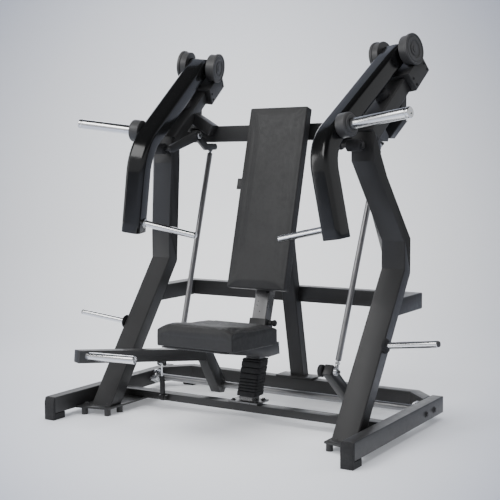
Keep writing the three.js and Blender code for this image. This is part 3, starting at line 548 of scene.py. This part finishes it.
def arm_offset(z):
    """How far outboard the tube's middle lies at a height: in towards the elbow, then out again."""
    elbow = ARM["rise"] - ARM["reach"] * math.tan(ARM_SLOPE)
    pivot, inset, end = ARM_OFFSETS["pivot"], ARM_OFFSETS["elbow"], ARM_OFFSETS["end"]
    if z > elbow:
        return pivot + (inset - pivot) * (ARM["rise"] - z) / (ARM["rise"] - elbow)
    return inset + (end - inset) * (elbow - z) / (elbow - ARM["end"])


def arm_ring(y, z, angle, inset=0.0, along=0.0):
    """The tube's outline at one station, drawn in by inset and moved along the tube."""
    y -= along * math.cos(angle)
    z -= along * math.sin(angle)
    half, x = ARM["half"] - inset, arm_offset(z)
    section = rounded_rectangle(half, half, ARM["corner"] - inset * 0.5, 8)
    return [Vector((x + p, y - q * math.sin(angle), z + q * math.cos(angle))) for p, q in section]


def press_arm():
    """Bent tube with eased ends and a recessed end plug, welded to the hub."""
    stations = arm_stations()
    first, last = stations[0], stations[-1]
    rings = [arm_ring(*first, inset=4), arm_ring(*first, inset=1.2, along=0.6), arm_ring(*first, along=3)]
    for one, two in zip(stations, stations[1:]):
        pieces = 6 if (Vector(one[:2]) - Vector(two[:2])).length > 100 else 1
        for i in range(1 if one is first else 0, pieces):
            t = i / pieces
            rings.append(arm_ring(*(a + (b - a) * t for a, b in zip(one, two))))
    rings += [arm_ring(*last, along=-2), arm_ring(*last, inset=0.8, along=-0.4), arm_ring(*last, inset=3.5),
              arm_ring(*last, inset=4.5, along=-3), arm_ring(*last, inset=12, along=-3.5)]
    tube = moved(loft(rings), HEAD)
    half = HUB["half"]
    bore = AXLE_RADIUS + 0.3
    profile = [(bore, -half), (HUB["radius"], -half), (HUB["radius"], half), (bore, half), (bore, -half)]
    return merged(tube, turned((0, 0, 0), (1, 0, 0), profile, HEAD, 1.5))


def plate_horn():
    """Chrome bar for the weight plates, with a groove near its end."""
    length = HORN["end"] - HORN["start"]
    radius = HORN["radius"]
    profile = [(0, 0), (radius, 0), (radius, length - 22), (radius - 1.6, length - 20),
               (radius - 1.6, length - 17), (radius, length - 15), (radius, length - 3),
               (radius - 3, length), (9, length), (7, length - 3), (0, length - 3)]
    origin = (HORN["start"], HORN["depth"], HORN["height"])
    return turned(origin, (1, 0, 0), profile, HEAD, 1.5)


def horn_collar():
    """The stepped flange that the plates rest against."""
    start, end, radius = COLLAR["start"], COLLAR["end"], COLLAR["radius"]
    length = end - start
    bore = HORN["radius"] + 0.3
    profile = [(bore, 0), (radius, 0), (radius, length - 12), (radius - 6, length - 5),
               (radius - 14, length - 5), (radius - 15, length), (bore + 3, length), (bore, length - 2),
               (bore, 0)]
    return turned((start, HORN["depth"], HORN["height"]), (1, 0, 0), profile, HEAD, 3.5)


def handle_bar():
    length = HANDLE["start"] - HANDLE["end"]
    radius = HANDLE["radius"]
    flange = 24
    profile = [(0, 0), (flange, 0), (flange, 5), (radius, 7), (radius, length - 3), (radius - 3, length),
               (0, length)]
    direction = (-math.cos(HANDLE_DROOP), 0, -math.sin(HANDLE_DROOP))
    return turned((HANDLE["start"], HANDLE["depth"], HANDLE["height"]), direction, profile, HEAD, 1.5)


# ---------------------------------------------------------------- head
def bearing_cap(side):
    """Round cap with a raised rim, outboard (side 1) or inboard (side -1) of the arm."""
    radius, neck, bore = CAP["radius"], CAP["neck"], CAP["bore"]
    deep = CAP["thickness"]
    profile = [(bore, 0), (neck, 0), (neck, deep - 17), (radius, deep - 15), (radius, deep - 2),
               (radius - 2, deep), (radius - 9, deep), (radius - 11, deep - 3), (radius - 15, deep - 3),
               (radius - 17, deep - 1), (45, deep - 1), (41, deep - 5), (bore, deep - 5), (bore, 0)]
    return turned((side * CAP["inner"], 0, 0), (side, 0, 0), profile, HEAD, 1.6, 96)


def pivot_axle():
    """The bar through both caps, and the round bosses with bolt heads that hold it."""
    reach = CAP["inner"] + CAP["thickness"] - 4
    profile = [(0, -reach), (AXLE_RADIUS, -reach), (AXLE_RADIUS, reach), (0, reach)]
    bar = turned((0, 0, 0), (1, 0, 0), profile, HEAD)
    bosses = []
    for side in (1, -1):
        face = side * (reach - 1.2)
        washer = [(0, 0), (31, 0), (31, 3), (0, 3)]
        bosses.append(turned((face, 0, 0), (side, 0, 0), washer, HEAD, 0.8))
        bosses.append(hexagon_bolt((face + side * 2.5, 0, 0), (side, 0, 0), 30, 3.2, False, HEAD))
    return bar, merged(*bosses)


def rest_stop():
    """Rubber buffer on the pivot block's slope, under the resting arm."""
    along = Vector((0, math.cos(HEAD_SLOPE), math.sin(HEAD_SLOPE)))
    outward = Vector((0, -math.sin(HEAD_SLOPE), math.cos(HEAD_SLOPE)))
    base = along * STOP["along"] - outward * STOP["seat"]
    radius, height = STOP["radius"], STOP["height"]
    profile = [(0, 0), (radius, 0), (radius, height - 25), (radius - 3, height - 22),
               (radius - 3, height - 9), (radius - 11, height - 1), (0, height)]
    return turned(base, outward, profile, HEAD, 3)


def block_bolts():
    """Socket screws on the outer and inner face of the pivot block."""
    return merged(*(socket_bolt((side * BLOCK_HALF, y, z), (side, 0, 0), 6.5, 3, HEAD)
                    for side in (1, -1) for y, z in BLOCK_SCREWS))


# ---------------------------------------------------------------- start assist
def rod_end(which):
    """The lower or upper rod end: ring, ball, neck, lock nut and thread."""
    eye, other, bore = (UPPER_EYE, LOWER_EYE, 8.8) if which == "upper" else (LOWER_EYE, UPPER_EYE, 8.3)
    direction = (other - eye).normalized()
    reach = ROD_REACH[which]
    ring = [(13, -10), (19, -8), (19, 8), (13, 10), (13, -10)]
    ball = [(bore, -12), (12.6, -7), (13.6, 0), (12.6, 7), (bore, 12), (bore, -12)]
    neck = [(0, 16), (9.5, 17), (8.5, reach - 16), (0, reach - 16)]
    nut = [(0, reach - 16), (12.5, reach - 16), (12.5, reach - 7), (0, reach - 7)]
    thread = [(0, reach - 7), (7, reach - 7), (7, reach - 0.3), (0, reach - 0.3)]
    return merged(
        turned(eye, (1, 0, 0), ring, WORK, 2), turned(eye, (1, 0, 0), ball, WORK, 1),
        turned(eye, direction, neck, WORK, 1), moved(revolve(nut, 6), WORK @ aimed(eye, direction)),
        turned(eye, direction, thread, WORK, 0.5))


def connecting_rod():
    length = (UPPER_EYE - LOWER_EYE).length - sum(ROD_REACH.values())
    direction = (UPPER_EYE - LOWER_EYE).normalized()
    profile = [(0, 0), (11, 0), (14, 3), (14, length - 3), (11, length), (0, length)]
    return turned(LOWER_EYE + direction * ROD_REACH["lower"], direction, profile, WORK, 1.5)


def lift_roller():
    start, end, radius = ROLLER["from"], ROLLER["to"], ROLLER["radius"]
    length = end - start
    profile = [(10.3, 0), (radius - 9, 0), (radius - 8, 1.5), (radius - 5, 0.5), (radius, 5),
               (radius, length - 5), (radius - 5, length - 0.5), (radius - 8, length - 1.5),
               (radius - 9, length), (10.3, length), (10.3, 0)]
    return turned((start, ROLLER["y"], ROLLER["z"]), (1, 0, 0), profile, WORK, 1.5)


# ---------------------------------------------------------------- floor level pieces
def storage_horn():
    """Black root flange, cut flush with the upright's side, chrome bar and a dark end plug."""
    origin, direction = STORAGE["root"], STORAGE["direction"]
    flange = [(0, -2), (35, -2), (35, 6), (30, 13), (22, 16), (0, 16)]
    bar = [(0, 8), (15.5, 8), (15.5, 268), (14.5, 271), (0, 271)]
    plug = [(0, 266), (13.6, 266), (13.6, 274), (12, 277.5), (0, 278)]
    points, faces = turned(origin, direction, flange, WORK, 1.5)
    root = [Vector((max(point.x, STORAGE_FACE), point.y, point.z)) for point in points]
    return (root, faces), turned(origin, direction, bar, WORK, 1), turned(origin, direction, plug, WORK, 1)


def pedal_shaft():
    end = RAIL_INNER - 1.3
    bar = [(0, -end), (SHAFT_RADIUS, -end), (SHAFT_RADIUS, end), (0, end)]
    return turned((0, *SHAFT), (1, 0, 0), bar, WORK, 0.8)


def shaft_bearing():
    """Two-bolt flange bearing: oval plate, domed housing and the inner race."""
    y, z = SHAFT
    end = RAIL_INNER - 0.3
    spacing, drop, ear, housing_radius = (BEARING[key] for key in ("spacing", "drop", "ear", "housing"))
    outline = []
    for side, first in ((1, 58), (-1, 238)):
        for i in range(13):
            angle = math.radians(-78 + 13 * i)
            outline.append((y + side * spacing + side * ear * math.cos(angle),
                            z - drop + side * ear * math.sin(angle)))
        for i in range(9):
            angle = math.radians(first + 8 * i)
            outline.append((y + housing_radius * math.cos(angle), z + housing_radius * math.sin(angle)))
    rings = []
    for x, inset in ((end, 0), (end - 10, 0), (end - 12.5, 1), (end - 14, 3)):
        shrink_y, shrink_z = 1 - inset / (spacing + ear), 1 - inset / housing_radius
        rings.append([WORK @ Vector((x, y + (p - y) * shrink_y, z + (q - z) * shrink_z)) for p, q in outline])
    bore = SHAFT_RADIUS + 0.3
    dome = [(bore, 12), (34, 12), (33, 18), (30, 25), (27, 27), (26, 24.5), (21.5, 24.5), (21.5, 31),
            (bore, 32), (bore, 12)]
    housing = turned((end, y, z), (-1, 0, 0), dome, WORK, 1.2)
    bolts = [hexagon_bolt((end - 13.5, y + at, z - drop), (-1, 0, 0), 16, 7) for at in (-spacing, spacing)]
    return merged(loft(rings), housing, *bolts)


def foot_bar():
    """Chrome tube with a recessed plug at its end."""
    profile = [(0, 4), (15, 4), (16, 0), (20, 0), (20, 286), (17.5, 290), (12, 290), (11, 286), (0, 286)]
    return turned(FOOT_BAR["root"], FOOT_BAR["direction"], profile, WORK, 0.8)


def damper_cylinder():
    """Hollow cylinder with its eye on the front crossbar."""
    direction = (DAMPER_TOP - DAMPER_FOOT).normalized()
    body = [(0, 14), (7, 14), (8, 17), (13, 21), (13, 103), (12, 105), (12, 107), (11, 110), (5.5, 110),
            (5.5, 104), (9, 104), (9, 24), (0, 24)]
    eye = [(5.3, -12), (13.5, -12), (15.5, -9), (15.5, 9), (13.5, 12), (5.3, 12), (5.3, -12)]
    return merged(turned(DAMPER_FOOT, direction, body, WORK, 0.8),
                  turned(DAMPER_FOOT, (1, 0, 0), eye, WORK, 1))


def damper_rod():
    """Piston head inside the cylinder, rod, and the eye on the pedal."""
    direction = (DAMPER_TOP - DAMPER_FOOT).normalized()
    length = (DAMPER_TOP - DAMPER_FOOT).length
    piston = [(0, 84), (8.5, 84), (8.5, 92), (4.8, 93), (4.8, length - 8), (0, length - 8)]
    eye = [(6.5, -12), (10, -12), (11, -10), (11, 10), (10, 12), (6.5, 12), (6.5, -12)]
    return merged(turned(DAMPER_FOOT, direction, piston, WORK, 0.6),
                  turned(DAMPER_TOP, (1, 0, 0), eye, WORK, 1))


def pull_pin():
    """The pin and its round knob."""
    profile = [(0, 0), (5.5, 0), (5.5, 26), (7.5, 27), (9, 28), (14.5, 31), (16, 34), (16.6, 38), (16, 42),
               (13, 46.5), (8, 48), (0, 48)]
    return turned(PULL_PIN_ROOT, (1, 0, 0), profile, WORK, 1)


def crank_buffer():
    """Round rubber bumper on the crank's inner side."""
    profile = [(0, 0), (26, 0), (30, 4), (30, 20), (28, 23), (0, 23.5)]
    return turned(BUFFER_ROOT, (-1, 0, 0), profile, WORK, 2)


def lever_sleeve():
    """Bright bearing sleeve on each side of the lift lever's hub."""
    y, z = LEVER_HUB["y"], LEVER_HUB["z"]
    outer = [(0, 0), (26, 0), (28, 2), (28, 12), (26, 13.7), (0, 13.7)]
    inner = [(0, 0), (18, 0), (19, 2), (19, 10), (14, 16), (0, 16)]
    return merged(turned((LEVER_HUB["outer"], y, z), (1, 0, 0), outer),
                  turned((LEVER_HUB["inner"], y, z), (-1, 0, 0), inner))


def frame_bolts():
    """Hexagon heads on the rail's side, the base plate and the front post's foot."""
    heads = [hexagon_bolt(place, (1, 0, 0), 19, 7) for place in RAIL_BOLTS]
    heads += [hexagon_bolt(place, (0, 0, 1), 19, 8) for place in PLATE_BOLTS]
    heads += [hexagon_bolt(place, (0, 0, 1), 15, 6) for place in POST_BOLTS]
    return merged(*heads)


# ---------------------------------------------------------------- pads
def inflate(piece, cap_distance, pinned):
    """Cloth simulation with inner pressure; pinned(point) says which points stay where they are."""
    modifier = piece.modifiers.new("remesh", "REMESH")
    modifier.mode = "VOXEL"
    modifier.voxel_size = CLOTH_GRID
    bpy.context.view_layer.objects.active = piece
    bpy.ops.object.modifier_apply(modifier=modifier.name)
    rest = [vertex.co.copy() for vertex in piece.data.vertices]
    group = piece.vertex_groups.new(name="held")
    group.add([i for i, point in enumerate(rest) if pinned(point)], 1.0, "REPLACE")
    cloth = piece.modifiers.new("cloth", "CLOTH")
    settings = cloth.settings
    settings.use_pressure = True
    settings.uniform_pressure_force = CLOTH_PRESSURE
    settings.effector_weights.gravity = 0
    settings.tension_stiffness = 40
    settings.compression_stiffness = 40
    settings.bending_stiffness = 5
    settings.vertex_group_mass = "held"
    for number in range(1, CLOTH_FRAMES + 1):
        bpy.context.scene.frame_set(number)
    graph = bpy.context.evaluated_depsgraph_get()
    moved_points = [vertex.co.copy() for vertex in piece.evaluated_get(graph).data.vertices]
    piece.modifiers.remove(cloth)
    bpy.context.scene.frame_set(1)
    for vertex, start, end in zip(piece.data.vertices, rest, moved_points):
        step = end - start
        if step.length > cap_distance:
            step = step.normalized() * cap_distance
        vertex.co = start + step


def soften(piece):
    modifier = piece.modifiers.new("soften", "SMOOTH")
    modifier.iterations = 2
    bpy.context.view_layer.objects.active = piece
    bpy.ops.object.modifier_apply(modifier=modifier.name)


def finish_pad(piece, body, node):
    """Cover material, a finer surface, and what the pad stands for."""
    piece.data.materials.clear()
    piece.data.materials.append(MATERIALS["upholstery"])
    subdivision = piece.modifiers.new("fine", "SUBSURF")
    subdivision.levels = 1
    subdivision.render_levels = 1
    piece.data.shade_smooth()
    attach(piece, body)
    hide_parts(node)


def pad_matrix():
    """The backrest's own frame: X across, Y out of its front face, Z up its length."""
    up = Vector((0, math.sin(PAD_TILT), math.cos(PAD_TILT)))
    out = Vector((0, -math.cos(PAD_TILT), math.sin(PAD_TILT)))
    across = out.cross(up)
    turn = Matrix((across, out, up)).transposed().to_4x4()
    return WORK @ Matrix.Translation((0, PAD["bottom_y"], PAD["bottom_z"])) @ turn


def backrest_pad():
    """Square-cornered block whose front swells to a soft crown inside a lower border."""
    half, middle, thick = PAD["half_width"], PAD["length"] / 2, PAD["thickness"]
    levels = ((-thick + 0.5, 1, 4), (-thick + 3, 0, 4), (-30, 0, 4), (-9, 0, 4), (-7.4, 1, 5),
              (-6, 4, 7), (-4, 12, 12), (-2, 20, 16), (-0.6, 28, 20), (0.4, 36, 24))
    rings = []
    for out, inset, corner in levels:
        outline = rounded_rectangle(half - inset, middle - inset, corner, 4)
        rings.append([Vector((x, out, middle + z)) for x, z in outline])
    piece = raw_piece("backrest_cushion", moved(loft(rings), pad_matrix()))
    face = pad_matrix().inverted()
    inflate(piece, 0.002, lambda point: (face @ point).y < -8)
    soften(piece)
    finish_pad(piece, "frame", "backrest_pad")


def seat_height(x, y):
    """Height of the seat's top: highest just behind the front edge, falling to the rear and the sides."""
    for (y0, z0), (y1, z1) in zip(SEAT_CROWN, SEAT_CROWN[1:]):
        if y <= y1:
            break
    ridge = z0 + (z1 - z0) * (y - y0) / (y1 - y0)
    across = abs(x) / SEAT["half_width"]
    back = y - SEAT["front"]
    near_front = max(0, min(1, 1 - back / 300))
    shoulder = (12 + 12 * near_front) * (max(0, across - 0.7) / 0.3) ** 1.4
    dish = 4 * (1 - across ** 2) * math.sin(math.pi * min(max(back / (SEAT["rear"] - SEAT["front"]), 0), 1))
    return ridge - shoulder - dish


def seat_underside(y):
    """Height of the seat's flat underside, which falls a little to the rear."""
    return 408.5 + (SEAT["front"] - y) * 0.045


def seat_pad():
    """Underside and crown on one grid, closed round the edge, then swelled; room is left for the swelling."""
    swell = 2
    half, front, rear = SEAT["half_width"] - swell, SEAT["front"] + swell, SEAT["rear"] - swell
    columns, rows = 40, 40
    points, faces = [], []
    for crown in (False, True):
        for j in range(rows + 1):
            for i in range(columns + 1):
                x = -half + 2 * half * i / columns
                y = front + (rear - front) * j / rows
                z = seat_height(x, y) - swell if crown else seat_underside(y)
                points.append(WORK @ Vector((x, y, z)))
    stride = columns + 1
    layer_size = stride * (rows + 1)
    for j in range(rows):
        for i in range(columns):
            a = j * stride + i
            faces.append((a, a + stride, a + stride + 1, a + 1))
            b = a + layer_size
            faces.append((b, b + 1, b + stride + 1, b + stride))
    edge = list(range(stride)) + [j * stride + columns for j in range(1, rows + 1)]
    edge += [rows * stride + i for i in range(columns - 1, -1, -1)]
    edge += [j * stride for j in range(rows - 1, 0, -1)]
    for a, b in zip(edge, edge[1:] + edge[:1]):
        faces.append((a, b, b + layer_size, a + layer_size))
    piece = raw_piece("seat_cushion", (points, faces))
    inflate(piece, 0.0025, lambda point: point.z < 0.466)
    soften(piece)
    finish_pad(piece, "seat", "seat_pad")


# ---------------------------------------------------------------- bellows
def bellows():
    """A sleeve round the front post: tight grooves across its front and back, plain sides."""
    top, bottom = BELLOWS["top"], BELLOWS["bottom"]
    rings = []

    def ring(z, depth, side):
        """The sleeve's outline at a height, standing off the post by side and depth."""
        half_width, half_depth = POST["half_width"], POST["half_depth"]
        front = POST["front_y"] + (z - POST["foot_z"]) * math.tan(POST_TILT)
        middle = front + half_depth / math.cos(POST_TILT)
        outline = rounded_rectangle(half_width + side, half_depth + depth, 9, 6)
        return [WORK @ Vector((x, middle + y, z)) for x, y in outline]

    z = top
    for length in BELLOWS["folds"]:
        depth = 14.2 if length > 20 else 13.4
        groove = [(0, 6.5, 11.2), (1.4, depth - 2.4, 12.4), (3.2, depth - 0.6, 13), (5.5, depth, 13.3)]
        rise = [(5.5, depth, 13.3), (3.0, depth - 0.6, 13), (1.2, depth - 2.4, 12.4)]
        rings += [ring(z - drop, out, side) for drop, out, side in groove]
        rings += [ring(z - length + back, out, side) for back, out, side in rise]
        z -= length
    rings.append(ring(bottom, 6.5, 8))
    rings.reverse()
    piece = make("post_bellows_cover", loft(rings), None, "rubber", ("post_bellows",))
    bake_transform(piece)


# ---------------------------------------------------------------- studio
def backdrop_paper():
    """Matt paper with painted shade, a vignette: palest round one line through the room, darker and bluer
    beyond, judged from the camera's line of sight; it also glows in that colour, which is painted light.
    """
    material = shader_material("studio_paper", PAPER_MIDDLE, 0.7, 0.0, Specular_IOR_Level=0.2)
    place = add_node(material, "ShaderNodeTexCoord")
    offset = add_node(material, "ShaderNodeVectorMath", operation="SUBTRACT")
    offset.inputs[1].default_value = row(*CAMERA_PLACE)
    ray = add_node(material, "ShaderNodeVectorMath", operation="NORMALIZE")
    along = add_node(material, "ShaderNodeVectorMath", operation="DOT_PRODUCT")
    along.inputs[1].default_value = CAMERA_FORWARD
    spread = add_node(material, "ShaderNodeMapRange")
    spread.inputs["From Min"].default_value = PAPER_EDGE_COSINE
    spread.inputs["From Max"].default_value = 1.0
    fade = add_node(material, "ShaderNodeValToRGB")
    fade.color_ramp.elements[0].color = (*PAPER_EDGE_SHADE, 1)
    fade.color_ramp.elements[1].color = (*PAPER_MIDDLE, 1)
    link(material, place, "Object", offset, "Vector")
    link(material, offset, "Vector", ray, "Vector")
    link(material, ray, "Vector", along, "Vector")
    link(material, along, "Value", spread, "Value")
    link(material, spread, "Result", fade, "Fac")
    shader = material.node_tree.nodes["Principled BSDF"]
    link(material, fade, "Color", shader, "Base Color")
    # Painted light: the paper glows in its vignette colour, so it looks brighter than its lamps make it.
    link(material, fade, "Color", shader, "Emission Color")
    shader.inputs["Emission Strength"].default_value = PAPER_GLOW
    side = add_node(material, "ShaderNodeNewGeometry")
    clear = add_node(material, "ShaderNodeBsdfTransparent")
    mix = add_node(material, "ShaderNodeMixShader")
    link(material, side, "Backfacing", mix, "Fac")
    material.node_tree.links.new(shader.outputs["BSDF"], mix.inputs[1])
    material.node_tree.links.new(clear.outputs["BSDF"], mix.inputs[2])
    link(material, mix, "Shader", material.node_tree.nodes["Material Output"], "Surface")
    return material


def studio():
    """A pale sweep: level floor, a wide curve and a wall, all in one sheet, clear from behind."""
    flat_end, bend, half_width = SWEEP["flat_end"], SWEEP["bend"], SWEEP["half_width"]
    profile = [(SWEEP["front"], 0.0), (flat_end, 0.0)]
    for i in range(1, SWEEP["steps"] + 1):
        angle = math.pi / 2 * i / SWEEP["steps"]
        profile.append((flat_end + bend * math.sin(angle), bend - bend * math.cos(angle)))
    profile.append((flat_end + bend, SWEEP["top"]))
    points = [CAMERA_LEVEL * along + CAMERA_ACROSS * side + Vector((0, 0, z))
              for along, z in profile for side in (-half_width, half_width)]
    faces = [(2 * i, 2 * i + 1, 2 * i + 3, 2 * i + 2) for i in range(len(profile) - 1)]
    sweep = raw_piece("studio_sweep", (points, faces))
    sweep.data.shade_smooth()
    sweep.data.materials.append(backdrop_paper())


def area_light(name, place, target, size, power, in_reflections=True):
    """A soft box of that size and power, turned to its target and unseen by the camera."""
    data = bpy.data.lights.new(name, "AREA")
    data.shape = "RECTANGLE"
    data.size, data.size_y = size
    data.energy = power
    light = bpy.data.objects.new(name, data)
    light.location = place
    aim = Vector(target) - Vector(place)
    light.rotation_euler = aim.to_track_quat("-Z", "Y").to_euler()
    light.visible_glossy = in_reflections
    light.visible_camera = False
    bpy.context.scene.collection.objects.link(light)


def lights():
    """Air bright at the horizon and dark overhead, and soft boxes; those that only fill show in no paint."""
    world = bpy.data.worlds.new("studio_air")
    world.use_nodes = True
    place = add_node(world, "ShaderNodeTexCoord")
    split = add_node(world, "ShaderNodeSeparateXYZ")
    fade = add_node(world, "ShaderNodeValToRGB")
    fade.color_ramp.elements[0].position = 0.3
    fade.color_ramp.elements[0].color = (0.8, 0.81, 0.83, 1)
    fade.color_ramp.elements[1].position = 0.52
    fade.color_ramp.elements[1].color = (0.05, 0.05, 0.052, 1)
    link(world, place, "Generated", split, "Vector")
    link(world, split, "Z", fade, "Fac")
    background = world.node_tree.nodes["Background"]
    link(world, fade, "Color", background, "Color")
    background.inputs["Strength"].default_value = 0.8
    bpy.context.scene.world = world
    area_light("overhead", (0, -0.3, 4.6), (0, 0, 0), (4.5, 3.5), 250, False)
    area_light("front_fill", (-1.6, -5.2, 3.6), (0, 0, 0.7), (3.0, 2.2), 180, False)
    area_light("front_box", (-1.8, -4.0, 4.4), (0, 0, 1.2), (3.4, 2.2), 120)
    area_light("left_front_strip", (-4.4, -3.2, 1.7), (0, 0, 1.2), (0.8, 3.2), 35)
    area_light("right_back_strip", (4.0, 2.6, 2.2), (0, 0, 1.4), (0.8, 3.0), 50, False)
    area_light("back_wash", (-2.0, 3.0, 3.4), (-2.8, 5.0, 0.3), (3.0, 2.0), 25, False)
    area_light("left_edge_strip", (-2.9, 2.6, 2.9), (0, 0, 1.55), (2.4, 1.3), 28)


def camera():
    data = bpy.data.cameras.new("camera")
    data.lens = CAMERA_LENS
    data.sensor_width = SENSOR
    data.clip_end = 100
    upward = CAMERA_ACROSS.cross(CAMERA_FORWARD)
    rolled_right = CAMERA_ACROSS * math.cos(CAMERA_ROLL) + upward * math.sin(CAMERA_ROLL)
    rolled_up = upward * math.cos(CAMERA_ROLL) - CAMERA_ACROSS * math.sin(CAMERA_ROLL)
    turn = Matrix((rolled_right, rolled_up, -CAMERA_FORWARD)).transposed().to_4x4()
    view = bpy.data.objects.new("camera", data)
    view.matrix_world = Matrix.Translation(row(*CAMERA_PLACE)) @ turn
    bpy.context.scene.collection.objects.link(view)
    bpy.context.scene.camera = view


# ---------------------------------------------------------------- the machine
camera()
studio()
lights()
dress_cad_nodes()

make_pair("press_arm_body", press_arm(), "arm", "arm_paint", "press_arm")
make_pair("plate_horn_bar", plate_horn(), "arm", "chrome", "plate_horn")
make_pair("plate_horn_flange", horn_collar(), "arm", "cap_plastic", "plate_horn_collar")
make_pair("handle_bar", handle_bar(), "arm", "chrome", "handle")
make_pair("outer_bearing_cap", bearing_cap(1), "frame", "cap_plastic", "outer_pivot_cap")
make_pair("inner_bearing_cap", bearing_cap(-1), "frame", "cap_plastic", "inner_pivot_cap")
axle_bar, axle_bosses = pivot_axle()
make_pair("pivot_axle_bar", axle_bar, "frame", "chrome", "pivot_axle")
make_pair("pivot_axle_bosses", axle_bosses, "frame", "cap_plastic")
make_pair("rest_buffer", rest_stop(), "frame", "rubber", "arm_rest_stop")
make_pair("block_screws", block_bolts(), "frame", "rubber")
make_pair("rod_tube", connecting_rod(), "rod", "rod_steel", "connecting_rod")
make_pair("lower_eye", rod_end("lower"), "rod", "zinc", "lower_rod_end")
make_pair("upper_eye", rod_end("upper"), "rod", "zinc", "upper_rod_end")
make_pair("roller_tyre", lift_roller(), "roller", "rubber", "lift_roller")
root_flange, horn_bar, end_plug = storage_horn()
make_pair("storage_root_flange", root_flange, "frame", "rubber")
make_pair("storage_horn_bar", horn_bar, "frame", "chrome", "storage_horn")
make_pair("storage_end_plug", end_plug, "frame", "cap_plastic")
make_pair("flange_bearing", shaft_bearing(), "frame", "zinc", "shaft_bearing")
make_pair("lever_bearing", lever_sleeve(), "frame", "zinc")
make_pair("frame_bolt_heads", frame_bolts(), "frame", "cap_plastic")
make("pedal_axle_bar", pedal_shaft(), "pedal", "rod_steel", ("pedal_shaft",))
make("foot_bar_tube", foot_bar(), "pedal", "chrome", ("foot_bar",))
make("crank_buffer", crank_buffer(), "pedal", "rubber", ("crank_bumper",))
make("damper_tube", damper_cylinder(), "damper_body", "rubber", ("damper_cylinder",))
make("damper_piston_rod", damper_rod(), "damper_plunger", "chrome", ("damper_rod",))
make("pull_pin_knob", pull_pin(), "seat_pin", "rubber", ("seat_pull_pin",))
backrest_pad()
seat_pad()
bellows()
